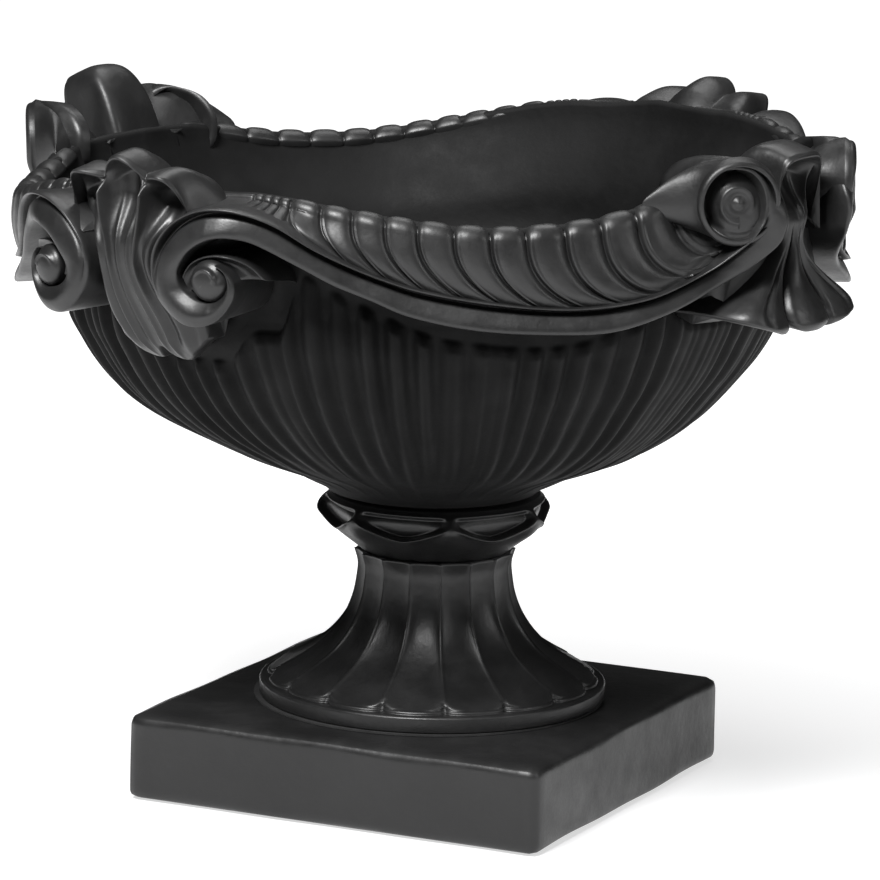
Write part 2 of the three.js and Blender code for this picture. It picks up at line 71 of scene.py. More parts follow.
PLINTH_TOP = high("plinth")
PLINTH_SIDE = (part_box("plinth")[1].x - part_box("plinth")[0].x) / MM
AXIS = np.array([*((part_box("plinth")[0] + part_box("plinth")[1]) / 2).xy, 0]) / MM
RING_LOW = low("pedestal")
COLLAR_LOW = low("leaf_collar")
BOWL_LOW = low("bowl")
RING_RADIUS = 128.4                 # the pedestal's foot ring
PEDESTAL_TURN = 7.6                 # degrees that the pedestal is turned on the plinth
PEDESTAL_ASIDE = 2.6                # how far it stands to the camera's right of the plinth's middle
BOWL_TURN = -13.6                   # degrees that the bowl is turned on the pedestal
BOWL_LEAN = 2.6                     # degrees that the bowl leans over on its seat
LEAN_TOWARD = 261.3                 # azimuth of the low side of the lean
FACE_MID = 299                      # radius of the rim's face in the middle of a side
FACE_CORNER = 328                   # and at a corner
VIEW_TURN = 25.6                    # azimuth of the camera, in degrees from -Y toward +X
print("plinth", round(PLINTH_SIDE), "bowl from", round(BOWL_LOW, 1))

# %% [markdown]
# ## Curves and places
# A carver works from a few marks and joins them by eye. `through` does the same: it gives a smooth
# curve through a few chosen points, for whole arrays of positions at once.

# %% Smooth curves
DEGREE = math.pi / 180


def smooth(a, b, x):
    """Runs from 0 at a to 1 at b with a soft start and end."""
    t = np.clip((np.asarray(x, float) - a) / (b - a), 0, 1)
    return t * t * (3 - 2 * t)


def through(knots):
    """A smooth curve y(x) through a few points, flat past the ends."""
    x = np.array([k[0] for k in knots], float)
    y = np.array([k[1] for k in knots], float)
    slope = np.gradient(y, x)

    def curve(at):
        at = np.clip(np.asarray(at, float), x[0], x[-1])
        i = np.clip(np.searchsorted(x, at) - 1, 0, len(x) - 2)
        w = x[i + 1] - x[i]
        t = (at - x[i]) / w
        start = (2 * t**3 - 3 * t**2 + 1) * y[i] + (t**3 - 2 * t**2 + t) * w * slope[i]
        return start + (3 * t**2 - 2 * t**3) * y[i + 1] + (t**3 - t**2) * w * slope[i + 1]

    return curve


def lerp(a, b, t):
    return a + (b - a) * t


def ripple(x, seed, octaves=3):
    """A quiet, repeatable unevenness that closes on itself over 360 degrees."""
    x = np.asarray(x, float) * DEGREE
    total = 0
    for k in range(1, octaves + 1):
        total = total + np.sin((2 * k + 1 + seed % 3) * x + seed * 1.7 * k) / k
    return total / octaves


def polar(azimuth, radius, z):
    """A point from its azimuth in degrees (from -Y toward +X), its radius and its height."""
    a = np.asarray(azimuth, float) * DEGREE
    radius = np.asarray(radius, float)
    return np.stack(np.broadcast_arrays(radius * np.sin(a), -radius * np.cos(a), z), axis=-1)


# %% [markdown]
# ## Where the castings stand
# No casting stands quite true, and the photograph shows it: the pedestal sits a little off the middle
# of the plinth, and the bowl leans over by less than three degrees. Each piece is shaped about its own
# axis, and one of these three functions then moves its points to their place.

# %% The three places
def on_plinth(point):
    return point + AXIS


def on_foot(point):
    return on_plinth(point) + polar(VIEW_TURN + 90, PEDESTAL_ASIDE, 0)


def on_seat(point):
    """The bowl and its mouldings lean over together, while the seat stays level."""
    toward = polar(LEAN_TOWARD, 1, 0)
    rise = point[:, 2:] - BOWL_LOW
    tilt = math.tan(BOWL_LEAN * DEGREE) * smooth(30, 90, rise)
    along = (point @ toward)[:, None]
    return on_plinth(point + tilt * rise * toward - tilt * along * np.array([0, 0, 1]))


# %% [markdown]
# ## Carving a surface
# Carved work has no flat faces and no straight edges, so a box with bevels can't give its shape. Each
# surface starts as a grid primitive, and every vertex of the grid is then moved to its place on a
# form that is written as a formula. Edit-mode operators weld the seams, close the open ends and turn
# the faces outward, so each piece is a closed body.

# %% A carved piece from rows of points
def only(piece):
    """Deselects everything, then selects and activates one object."""
    bpy.ops.object.select_all(action="DESELECT")
    piece.select_set(True)
    bpy.context.view_layer.objects.active = piece


def carve(name, rows):
    """A smooth closed piece whose grid vertices lie at rows[row][column], in millimetres."""
    rows = np.asarray(rows, float)
    count, width = rows.shape[:2]
    bpy.ops.object.select_all(action="DESELECT")
    bpy.ops.mesh.primitive_grid_add(x_subdivisions=width - 1, y_subdivisions=count - 1, size=1)
    piece = bpy.context.object
    piece.name = piece.data.name = name
    flat = np.empty(len(piece.data.vertices) * 3)
    piece.data.vertices.foreach_get("co", flat)
    flat = flat.reshape(-1, 3)
    column = np.rint((flat[:, 0] + 0.5) * (width - 1)).astype(int)
    row = np.rint((flat[:, 1] + 0.5) * (count - 1)).astype(int)
    piece.data.vertices.foreach_set("co", (rows[row, column] * MM).ravel())
    bpy.ops.object.mode_set(mode="EDIT")
    bpy.ops.mesh.select_all(action="SELECT")
    bpy.ops.mesh.remove_doubles(threshold=0.00001)
    bpy.ops.mesh.select_all(action="SELECT")
    bpy.ops.mesh.fill_holes(sides=0)
    bpy.ops.mesh.select_all(action="SELECT")
    bpy.ops.mesh.normals_make_consistent(inside=False)
    bpy.ops.object.mode_set(mode="OBJECT")
    bpy.ops.object.shade_smooth()
    return piece


def copied(piece, name, matrix):
    """A copy with its own mesh, moved by a matrix; a mirrored copy gets its faces turned back."""
    only(piece)
    bpy.ops.object.duplicate()
    twin = bpy.context.object
    twin.name = twin.data.name = name
    twin.data.transform(matrix)
    if matrix.determinant() < 0:
        bpy.ops.object.mode_set(mode="EDIT")
        bpy.ops.mesh.select_all(action="SELECT")
        bpy.ops.mesh.flip_normals()
        bpy.ops.object.mode_set(mode="OBJECT")
    return twin


print("tools ready")

# %% [markdown]
# ## The stone
# Dark cast stone is nearly black, satin rather than dull, and a little lighter where hands and rain
# have rubbed its edges. Three things make it read as stone: slow cloudy patches in the colour, a
# roughness that changes from place to place, and a very fine grain in the surface. Convex edges are
# found by the mesh's own curvature, so the wear follows the carving. Hollows and creases found the
# same way are darkened, as painted shade. The bowl gets a darker, duller copy of the stone: its darker
# colour is painted shade for the flutes under the rim, the underside and the inside.

# %% Shader arithmetic
class Value:
    """A number that varies over the surface; its operators add Math nodes."""

    def __init__(self, tree, socket):
        self.tree = tree
        self.socket = socket

    def math(self, operation, other):
        node = self.tree.nodes.new("ShaderNodeMath")
        node.operation = operation
        self.tree.links.new(self.socket, node.inputs[0])
        if isinstance(other, Value):
            self.tree.links.new(other.socket, node.inputs[1])
        else:
            node.inputs[1].default_value = other
        return Value(self.tree, node.outputs[0])

    def __add__(self, other):
        return self.math("ADD", other)

    def __mul__(self, other):
        return self.math("MULTIPLY", other)


class Finish:
    """A material's node tree, with one method that adds any node."""

    def __init__(self, name):
        self.material = bpy.data.materials.new(name)
        self.material.use_nodes = True
        self.tree = self.material.node_tree
        self.shader = self.tree.nodes["Principled BSDF"]

    def node(self, kind, settings=None, **sockets):
        node = self.tree.nodes.new("ShaderNode" + kind)
        for key, value in (settings or {}).items():
            setattr(node, key, value)
        for key, value in sockets.items():
            self.plug(value, node.inputs[key.replace("_", " ")])
        return node

    def plug(self, value, socket):
        if isinstance(value, Value):
            self.tree.links.new(value.socket, socket)
        elif isinstance(value, bpy.types.NodeSocket):
            self.tree.links.new(value, socket)
        else:
            socket.default_value = value

    def value(self, socket):
        return Value(self.tree, socket)

    def noise(self, scale, detail, rough, where):
        node = self.node("TexNoise", Vector=where, Scale=scale, Detail=detail, Roughness=rough)
        return self.value(node.outputs["Fac"])

    def band(self, value, low_in, high_in, low_out=0.0, high_out=1.0):
        """Maps the values from low_in to high_in onto low_out to high_out, and holds them there."""
        node = self.node("MapRange", Value=value)
        node.inputs["From Min"].default_value = low_in
        node.inputs["From Max"].default_value = high_in
        node.inputs["To Min"].default_value = low_out
        node.inputs["To Max"].default_value = high_out
        return self.value(node.outputs["Result"])

    def mix(self, factor, first, second):
        """Mixes two colours; a Mix node keeps its colour sockets at 6 and 7, and its result at 2."""
        node = self.node("Mix", {"data_type": "RGBA"})
        self.plug(factor, node.inputs["Factor"])
        self.plug(first, node.inputs[6])
        self.plug(second, node.inputs[7])
        return node.outputs[2]

    def bump(self, height, strength, distance, normal=None):
        node = self.node("Bump")
        self.plug(height, node.inputs["Height"])
        node.inputs["Strength"].default_value = strength
        node.inputs["Distance"].default_value = distance
        if normal is not None:
            self.plug(normal, node.inputs["Normal"])
        return node.outputs["Normal"]


def grey(level):
    return (level, level, level * 1.01, 1.0)


# %% The cast stone finish
def cast_stone(name, tone, rough, seed, shine):
    """tone is the stone's middle grey, and seed moves the clouds and patches to another place."""
    finish = Finish(name)
    object_place = finish.node("TexCoord").outputs["Object"]
    place = finish.node("Mapping", Vector=object_place, Location=(seed, 0.3 * seed, 0))
    where = place.outputs["Vector"]
    clouds = finish.noise(9.0, 5.0, 0.6, where)
    patches = finish.noise(38.0, 6.0, 0.62, where)
    grain = finish.noise(620.0, 3.0, 0.6, where)
    pits = finish.noise(150.0, 4.0, 0.5, where)
    edge = finish.value(finish.node("NewGeometry").outputs["Pointiness"])
    worn = finish.band(edge, 0.515, 0.62)
    # sunk marks the hollows and creases that the curvature finds: it is a painted shade mask
    sunk = finish.band(edge, 0.49, 0.40)
    body = finish.mix(finish.band(clouds, 0.35, 0.68), grey(tone * 0.72), grey(tone * 1.32))
    body = finish.mix(finish.band(patches, 0.45, 0.75, 0.0, 0.45), body, grey(tone * 1.9))
    body = finish.mix(worn * finish.band(patches, 0.3, 0.6, 0.35, 0.8), body, grey(tone * 3.2))
    # Painted shade: the hollows and creases are darkened toward black
    body = finish.mix(sunk * 0.55, body, grey(tone * 0.35))
    finish.plug(body, finish.shader.inputs["Base Color"])
    roughness = finish.band(patches, 0.3, 0.7, rough - 0.05, rough + 0.10)
    roughness = roughness + finish.band(grain, 0.3, 0.7, -0.03, 0.03)
    finish.plug(roughness, finish.shader.inputs["Roughness"])
    coarse = finish.bump(finish.band(pits, 0.2, 0.8), 0.16, 0.0010)
    fine = finish.bump(grain, 0.10, 0.0004, coarse)
    finish.plug(fine, finish.shader.inputs["Normal"])
    finish.shader.inputs["Specular IOR Level"].default_value = shine
    return finish.material


STONE = cast_stone("charcoal_cast_stone", tone=0.012, rough=0.40, seed=0.0, shine=0.55)
# A darker, rougher and less shiny copy of the stone for the bowl; its darker colour is painted shade for
# the flutes under the rim, the underside and the inside
SHADE_DARKENED_STONE = cast_stone("shade_darkened_cast_stone", tone=0.0075, rough=0.62, seed=2.0, shine=0.16)
print("finishes:", STONE.name, SHADE_DARKENED_STONE.name)


def finished(piece, place, stone=STONE):
    """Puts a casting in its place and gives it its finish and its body."""
    flat = np.empty(len(piece.data.vertices) * 3)
    piece.data.vertices.foreach_get("co", flat)
    piece.data.vertices.foreach_set("co", (place(flat.reshape(-1, 3) / MM) * MM).ravel())
    piece.data.update()
    piece.data.materials.clear()
    piece.data.materials.append(stone)
    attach(piece, "root")
    return piece


# %% [markdown]
# ## The plinth
# The plinth is a square slab with soft, slightly uneven edges. A cube primitive at its size is
# subdivided, and the vertices near its edges are drawn in to a round. The radius of the round wavers
# a little, as on a slab that was struck off by hand.

# %% Model the plinth
PLINTH_EDGE = 7.5                   # radius of the plinth's edges


def plinth():
    bpy.ops.object.select_all(action="DESELECT")
    bpy.ops.mesh.primitive_cube_add(size=1, location=(0, 0, 0))
    slab = bpy.context.object
    slab.name = slab.data.name = "plinth_slab"
    size = Matrix.Diagonal((PLINTH_SIDE * MM, PLINTH_SIDE * MM, PLINTH_TOP * MM, 1))
    slab.data.transform(Matrix.Translation((0, 0, PLINTH_TOP * MM / 2)) @ size)
    bpy.ops.object.mode_set(mode="EDIT")
    bpy.ops.mesh.select_all(action="SELECT")
    bpy.ops.mesh.subdivide(number_cuts=40)
    bpy.ops.object.mode_set(mode="OBJECT")
    round_edges(slab, PLINTH_EDGE)
    bpy.ops.object.shade_smooth()
    return slab


def round_edges(slab, radius):
    """Draws a box's vertices in to round edges, with a slow waviness of the edge's radius."""
    flat = np.empty(len(slab.data.vertices) * 3)
    slab.data.vertices.foreach_get("co", flat)
    point = flat.reshape(-1, 3) / MM
    half = np.array([PLINTH_SIDE / 2, PLINTH_SIDE / 2, PLINTH_TOP / 2])
    point[:, 2] -= PLINTH_TOP / 2
    wave = 1.2 * np.sin(point[:, 0] / 31) * np.sin(point[:, 1] / 37 + 1)
    wave = wave + 0.8 * np.sin(point.sum(axis=1) / 17)
    corner = (radius + wave)[:, None]
    core = np.clip(point, -(half - corner), half - corner)
    out = point - core
    reach = np.linalg.norm(out, axis=1, keepdims=True)
    drawn_in = core + out / np.maximum(reach, 0.001) * np.minimum(reach, corner)
    point = np.where(reach > 0.001, drawn_in, point)
    point[:, 2] += PLINTH_TOP / 2
    slab.data.vertices.foreach_set("co", (point * MM).ravel())
    slab.data.update()


slab = finished(plinth(), on_plinth)
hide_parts("plinth")
print("plinth vertices", len(slab.data.vertices))

# %% [markdown]
# ## The pedestal
# The pedestal is turned, then fluted: sixteen hollow flutes run up the stem, and each ends on the foot
# ring in a rounded tongue that stands a little proud of it. The thin ridge between two flutes is
# rounded over. One closed surface holds the ring, the tongues and the stem.

# %% Carve the pedestal
FLUTES = 16                         # hollow flutes round the stem
RING_TOP = RING_LOW + 12
TONGUE_TOP = RING_TOP + 2.6
SPREAD_TOP = 100                    # below this height the stem spreads out to the ring
WAIST_TOP = COLLAR_LOW - 0.4
stem_curve = through([
    (TONGUE_TOP, 122), (84, 117.5), (88, 111), (94, 100.5), (100, 91), (106, 83), (112, 77), (125, 67.5),
    (140, 61), (155, 58), (166, 57.3), (WAIST_TOP, 60),
])
ridge_height = through([
    (TONGUE_TOP, 0.4), (84, 2.6), (92, 4.6), (110, 5.4), (140, 5.0), (165, 4.2), (WAIST_TOP, 3.0),
])


FLUTE_RIDGE = 0.11                  # share of a flute's width that its ridge takes


def flute(azimuth):
    """0 at the middle of a flute's ridge, 1 at the bottom of its hollow."""
    across = np.abs((azimuth * FLUTES / 360) % 1 - 0.5) * 2
    hollow = np.clip((1 - across) / (1 - FLUTE_RIDGE), 0, 1)
    scoop = np.sqrt(np.clip(1 - (1 - hollow) ** 2, 0, 1))
    return np.clip(scoop * 0.92 + 0.08 * hollow, 0, 1)


def pedestal():
    azimuth = np.linspace(0, 360, FLUTES * 26 + 1)
    across = np.abs((azimuth * FLUTES / 360) % 1 - 0.5) * 2
    ridge = 1 - flute(azimuth)
    middle = 1 - across
    tongue = RING_RADIUS - 6.4 - 7.5 * (1 - np.sqrt(np.clip(1 - (1 - middle) ** 2.6, 0, 1)))
    rows = []

    def row(radius, z):
        rows.append(polar(azimuth + PEDESTAL_TURN, radius + 0 * azimuth, z))

    ring = RING_RADIUS
    row(20, RING_LOW)
    row(ring - 3, RING_LOW)
    for turn in np.linspace(0, math.pi / 2, 5):
        row(ring - 1.0 * (1 - math.sin(turn)), RING_LOW + 1.2 * (1 - math.cos(turn)))
    row(ring + 0.1, RING_LOW + 5)
    row(ring, RING_TOP - 2.2)
    for turn in np.linspace(0, math.pi / 2, 7)[1:]:
        row(ring - 2.4 * (1 - math.cos(turn)), RING_TOP - 2.2 + 2.2 * math.sin(turn))
    for share in (0.25, 0.55, 0.8, 0.93, 1.0):
        row(lerp(ring - 2.4, tongue + 1.2, share), RING_TOP - 0.25 * math.sin(share * math.pi))
    for t in np.linspace(0, 1, 6)[1:]:
        row(tongue + 1.2 - 1.6 * t * t, RING_TOP + 2.4 * math.sin(t * math.pi / 2))
    spread, waist = np.linspace(TONGUE_TOP, SPREAD_TOP, 26), np.linspace(SPREAD_TOP, WAIST_TOP, 44)
    levels = np.concatenate([spread[1:], waist[1:]])
    for z in levels:
        start = smooth(TONGUE_TOP + 9, TONGUE_TOP, z)
        base = stem_curve(z) + 0.25 * ripple(azimuth, 2)
        body = base - ridge_height(z) * (1 - ridge)
        row(np.minimum(body, tongue - 0.6 - 0.9 * (z - TONGUE_TOP) * (1 - start) * 0.2), z)
    row(44, WAIST_TOP)
    return carve("pedestal_stem", rows)


stem = finished(pedestal(), on_foot)
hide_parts("pedestal")
print("pedestal vertices", len(stem.data.vertices))

# %% [markdown]
# ## The leaf collar
# Seven leaves droop over the knop under the bowl. Each leaf is a cupped pocket with a thin curled lip,
# and between two pockets the stone swells out. Seen from below they read as a ring of swags.

# %% Carve the collar
COLLAR_LEAVES = 7
COLLAR_HIGH = high("leaf_collar")
collar_curve = through([
    (0, 56), (4, 61), (9, 67.5), (15, 75), (22, 82), (28, 86), (33, 87), (37, 85), (41, 80), (44, 77.5),
])


def collar():
    azimuth = np.linspace(0, 360, COLLAR_LEAVES * 64 + 1)
    phase = ((azimuth * COLLAR_LEAVES / 360 + 0.5) % 1 - 0.5) * 2
    rise_all = np.linspace(0, COLLAR_HIGH - COLLAR_LOW, 84)
    rows = [polar(azimuth, 46 + 0 * azimuth, COLLAR_LOW)]
    for rise in rise_all:
        lip = 20.5 + 13.5 * np.abs(phase) ** 1.6
        inside = smooth(-1.2, 1.6, rise - lip) * smooth(39.5, 35.5, rise) * smooth(1.0, 0.80, np.abs(phase))
        edge = np.exp(-(((rise - lip + 1.3) / 1.5) ** 2)) * smooth(1.0, 0.7, np.abs(phase))
        swell = 3.2 * np.exp(-(((np.abs(phase) - 1) / 0.34) ** 2))
        swell = swell * smooth(6, 20, rise) * smooth(38, 26, rise)
        cup = 8.5 * inside * (0.55 + 0.45 * np.cos(phase * math.pi / 2))
        radius = collar_curve(rise) - cup + 1.5 * edge + swell - 1.5
        rows.append(polar(azimuth + PEDESTAL_TURN, radius, COLLAR_LOW + rise))
    rows.append(polar(azimuth, 46 + 0 * azimuth, COLLAR_HIGH))
    return carve("collar_of_leaves", rows)


knop = finished(collar(), on_foot)
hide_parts("leaf_collar")
print("collar vertices", len(knop.data.vertices))

# %% [markdown]
# ## The bowl's own azimuth
# The rim has two kinds of corner: a broad leaf at 0 and 180 degrees, and a rolled leaf at 90 and 270.
# What lies between two corners is the same on all four sides, mirrored from one to the next. So the
# rim is described once, by an azimuth that runs from 0 at a broad leaf to 90 at a rolled leaf.

# %% Rim curves
crest_height = through([
    (0, 480), (11, 476), (15, 476.2), (19.6, 474.2), (26.9, 468.5), (35.8, 460.8), (44.9, 454.1),
    (50, 452.4), (57, 452.8), (63.7, 455.5), (71.3, 462), (78, 467), (90, 470),
])
crest_radius = through([(0, 290), (15, 290), (25, 295), (38, 298), (60, 299), (75, 298), (90, 290)])
# the upper line of the scrolled band, and the lower one
band_top = through([
    (6, 450), (8.1, 459), (11.3, 469), (14.3, 471.5), (17.8, 467.5), (21.5, 457.8), (25.6, 443.8),
    (29.9, 431.1), (34.4, 420.6), (39.1, 412.6), (46.9, 404), (55.6, 397.9), (63.9, 398.2),
    (68.2, 401.5), (72.8, 410.1), (76.7, 421.5), (80, 435.3),
])
band_low = through([
    (15, 452), (21.3, 438.2), (27.5, 417.5), (33.2, 403.8), (39.1, 390.6), (48.3, 381.7), (60.6, 378),
    (65.7, 380.7), (72.4, 391.9), (77.5, 404.1), (82.6, 419.1), (85.9, 434.1),
])


def face_radius(side):
    """Radius of the rim's face, which stands farthest out at the corners."""
    return FACE_MID + (FACE_CORNER - FACE_MID) * np.cos(2 * np.asarray(side) * DEGREE) ** 2


def side_azimuth(azimuth):
    """Brings an azimuth round the whole bowl back to the one side that is described."""
    turn = np.asarray(azimuth, float) % 180
    return np.where(turn <= 90, turn, 180 - turn)


# %% [markdown]
# ## The bowl
# The bowl is one thick shell. Outside, narrow ridges run up from the foot and stop in the shade under
# the rim's band; they are uneven, as in the old pattern it was cast from, and every second one dies
# out low down where there is no room. Inside it is smooth. The grid runs from the foot up the outside,
# over the crest and down the inside to the drain.

# %% Carve the bowl
BOWL_FLUTES = 84                    # ridges round the bowl
bowl_curve = through([
    (BOWL_LOW, 79), (226, 84), (232, 96), (240, 112), (247, 131), (255, 151.5), (265, 172), (275, 190),
    (287, 208), (300, 223.5), (315, 238), (330, 249), (345, 257.5), (360, 265), (375, 268.5), (392, 269),
    (440, 270),
])
HOLLOW = 8.5                        # depth of the hollows between the ridges
WALL = 13                           # thickness of the bowl's wall
THINNEST = 6                        # and its least thickness, behind the rim's mouldings
LIP = 4                             # radius of the crest's round edge
BASIN_LOW = 250                     # height where the bowl's inside meets its floor
BASIN_FLOOR = 248.5
BASIN_RADIUS = 36                   # radius of the flat floor
DRAIN_RADIUS = 13


def inner_wall(side, z):
    """Radius of the bowl's smooth inside, which leans out to meet the crest."""
    crest_z = crest_height(side) - LIP
    share = np.clip((crest_z - z) / (crest_z - BASIN_LOW), 0, 1)
    wall = bowl_curve(np.clip(np.minimum(z, crest_z) - WALL, BOWL_LOW, 392)) - WALL
    return lerp(crest_radius(side) - WALL, wall, smooth(0, 0.32, share))


def root(side, z):
    """Radius inside the wall where the mouldings end."""
    return inner_wall(side_azimuth(side), z) + 5


def chance(index, seed):
    """A repeatable number between 0 and 1 for each ridge."""
    return np.modf(np.abs(np.sin((index % BOWL_FLUTES) * 12.9898 + seed * 4.1) * 43758.5453))[0]


def ridges(azimuth):
    """How high the surface stands between hollow and ridge, and which ridges reach the foot."""
    warp = 0.22 * ripple(azimuth, 1) + 0.12 * ripple(azimuth * 3, 4, 2)
    place = azimuth * BOWL_FLUTES / 360 + warp
    index = np.round(place)
    across = place - index
    height = 0.55 + 0.45 * chance(index, 1)
    width = 0.26 + 0.12 * chance(index, 2)
    shape = height * np.exp(-np.abs(across / width) ** 2.6)
    gap = np.floor(place)
    panel = np.where(chance(gap, 3) > 0.72, 0.62, 0.0) * np.sin(math.pi * (place - gap)) ** 0.5
    return np.maximum(shape, panel), np.where(index % 2 == 0, 1.0, 0.0)


def bowl():
    azimuth = np.linspace(0, 360, BOWL_FLUTES * 12 + 1)
    side = side_azimuth(azimuth)
    shape, keeps = ridges(azimuth)
    crest_z = crest_height(side)
    crest_r = crest_radius(side)
    shade = band_low(np.clip(side, 15, 85.9)) - 3
    shade = lerp(shade, 388, smooth(21, 16, side))
    shade = lerp(shade, 364, smooth(13, 5, side))
    shade = lerp(shade, 384, smooth(76, 84, side))
    rows = [polar(azimuth, DRAIN_RADIUS + 0 * azimuth, BOWL_LOW)]
    for t in np.linspace(0, 1, 96):
        z = lerp(BOWL_LOW, shade, t**0.95)
        live = lerp(keeps * smooth(226, 240, z), 1, smooth(248, 285, z))
        top = np.clip((shade - 12 - z) / 9, 0, 1) ** 0.6
        depth = lerp(1.0, HOLLOW, smooth(BOWL_LOW, 305, z))
        radius = bowl_curve(z) - depth * (1 - shape * live * top)
        rows.append(polar(azimuth, np.maximum(radius, inner_wall(side, z) + THINNEST), z))
    for t in np.linspace(0.08, 1, 10):
        z = lerp(shade, crest_z - LIP, t)
        radius = lerp(bowl_curve(shade) - HOLLOW, crest_r - LIP - 1, t)
        rows.append(polar(azimuth, np.maximum(radius, inner_wall(side, z) + THINNEST), z))
    for turn in np.linspace(0, math.pi, 9)[1:]:
        out, up = LIP * math.cos(turn), LIP * math.sin(turn)
        rows.append(polar(azimuth, crest_r - LIP * 2 - 1 + out, crest_z - LIP + up))
    for t in np.linspace(0, 1, 40)[1:]:
        z = lerp(crest_z - LIP, BASIN_LOW, t)
        uneven = 0.8 * ripple(azimuth, 5) + 0.5 * np.sin(z / 19)
        rows.append(polar(azimuth, inner_wall(side, z) + uneven * smooth(0, 0.1, t), z))
    rows.append(polar(azimuth, BASIN_RADIUS + 0 * azimuth, BASIN_FLOOR))
    rows.append(polar(azimuth, DRAIN_RADIUS + 0 * azimuth, BASIN_FLOOR))
    rows.append(rows[0])
    return carve("fluted_bowl", [polar_turn(r) for r in rows])


def polar_turn(points):
    """Turns points from the bowl's own azimuth to its place on the plinth."""
    a = BOWL_TURN * DEGREE
    x, y, z = points[..., 0], points[..., 1], points[..., 2]
    return np.stack([x * math.cos(a) - y * math.sin(a), x * math.sin(a) + y * math.cos(a), z], axis=-1)


# The bowl takes the darker copy of the stone, as painted shade
vessel = finished(bowl(), on_seat, SHADE_DARKENED_STONE)
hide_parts("bowl")
print("bowl vertices", len(vessel.data.vertices))

# %% [markdown]
# ## Four sides from one
# Each piece of the rim is carved once, for the side that faces the camera, and the other three sides
# get copies: the opposite side is turned half round, and its two neighbours are mirror images. A
# corner leaf is copied to the opposite corner. The old castings aren't quite alike, so the copy there
# has its own place and height.

# %% Copies round the rim
def side_matrix(index):
    """Carries the first side's carving to side 0, 1, 2 or 3, in the bowl's place on the plinth."""
    matrix = Matrix.Rotation(BOWL_TURN * DEGREE, 4, "Z")
    if index in (1, 2):
        matrix = matrix @ Matrix.Rotation(math.pi, 4, "Z")
    if index in (1, 3):
        matrix = matrix @ Matrix.Diagonal((-1, 1, 1, 1))
    return matrix


def four_sides(piece, name):
    """A copy of a moulding on each side; it stands in for that side's part of the rim."""
    for index in range(4):
        twin = copied(piece, f"{name}_{index + 1}", side_matrix(index))
        finished(twin, on_seat)
        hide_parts(f"rim_scroll_{index + 1}")
    bpy.data.objects.remove(piece)


LEAF_WAIST = 440                    # height of a corner leaf's waist


def stretch_top(piece, factor):
    """Makes a leaf taller or lower above its waist."""
    for vertex in piece.data.vertices:
        above = vertex.co.z / MM - LEAF_WAIST
        if above > 0:
            vertex.co.z = (LEAF_WAIST + above * factor) * MM


def two_corners(piece, name, azimuths, nodes, factors=(1, 1)):
    """A copy of a leaf at each of two azimuths, made taller or lower by a factor."""
    for azimuth, node, factor in zip(azimuths, nodes, factors):
        turn = Matrix.Rotation((BOWL_TURN + azimuth) * DEGREE, 4, "Z")
        twin = copied(piece, f"{name}_{node.split('_')[-1]}", turn)
        stretch_top(twin, factor)
        finished(twin, on_seat)
        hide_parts(node)
    bpy.data.objects.remove(piece)


# %% [markdown]
# ## The scrolled band
# One band makes each side of the rim. It begins as a tight curl under the big volute's eye, sweeps
# round it, runs down and up in a long S, and wraps over the small volute. It is carved between two
# lines: the upper one carries a thin bead, and the lower one stands out and is deeply undercut. The
# marks below give the two lines side by side.

# %% Marks of the band's two lines
STEP = 5.92                         # millimetres along the face for one degree round the bowl
VOLUTE = (12.9, 421.6)              # middle of the big volute: degrees round the bowl, height
DRUM = (78.6, 463.2)                # middle of the small volute
# The small volute's front is turned toward the middle of its side: a mark u millimetres to its right
# lies at FACE_PLACE times u along the face and FACE_SLOPE times u farther out.
FACE_PLACE = 0.70
FACE_SLOPE = 0.37
VOLUTE_PROUD = 15                   # how far the big volute stands before the rim's face
DRUM_PROUD = 17                     # and the band round the small one


def about(middle, angle, reach):
    """A place on the face at an angle and a distance from the middle of a volute."""
    side = middle[0] + reach * np.cos(angle * DEGREE) / STEP
    return side, middle[1] + reach * np.sin(angle * DEGREE)


# angle about the big volute, reach of the outer line, reach of the inner line
volute_marks = [
    (418, 14.2, 12.8), (385, 16.8, 13.2), (352, 19.6, 13.5), (318, 22.4, 13.8), (278, 29.0, 14.6),
    (243, 35.8, 16.2), (216, 39.6, 19.0), (193, 44.3, 22.8), (172, 47.4, 24.2), (152, 48.4, 23.2),
    (126, 48.4, 23.6), (101, 49.8, 25.8), (80, 52.0, 29.6), (60, 55.6, 34.0), (38, 63.4, 41.0),
]
# upper mark and lower mark of the S
band_marks = [
    ((25.6, 443.8), (23.2, 431.8)), ((29.9, 431.1), (27.5, 417.5)), ((34.4, 420.6), (32, 406.6)),
    ((39.1, 412.6), (37.4, 394.0)), ((46.9, 404), (46, 383.5)), ((55.6, 397.9), (56, 378.8)),
    ((62.4, 397.6), (63.6, 378.9)), ((68.2, 401.5), (70.8, 388.6)), ((72.8, 410.1), (76.4, 401.4)),
    ((76.7, 421.5), (81.8, 416.4)), ((80, 434.6), (85.5, 432)),
]
# angle and reach about the small volute, of the lip and then of the outer line
drum_marks = [
    (-50, 24.6, -22, 48.5), (-26, 24.2, -3, 45.4), (2, 24, 24, 37), (30, 24, 48, 32.4),
    (62, 23.8, 74, 31.6), (95, 23.6, 98, 32), (130, 23.4, 130, 32.6), (165, 23.2, 165, 32.6),
    (200, 22.8, 198, 31), (232, 22, 228, 26),
]

upper = [about(VOLUTE, a, r) for a, r, _ in volute_marks]
lower = [about(VOLUTE, a, r) for a, _, r in volute_marks]
upper += [mark[0] for mark in band_marks]
lower += [mark[1] for mark in band_marks]
upper += [about(DRUM, a, r) for a, r, _, _ in drum_marks]
lower += [about(DRUM, a, r) for _, _, a, r in drum_marks]
print("band marks:", len(upper))

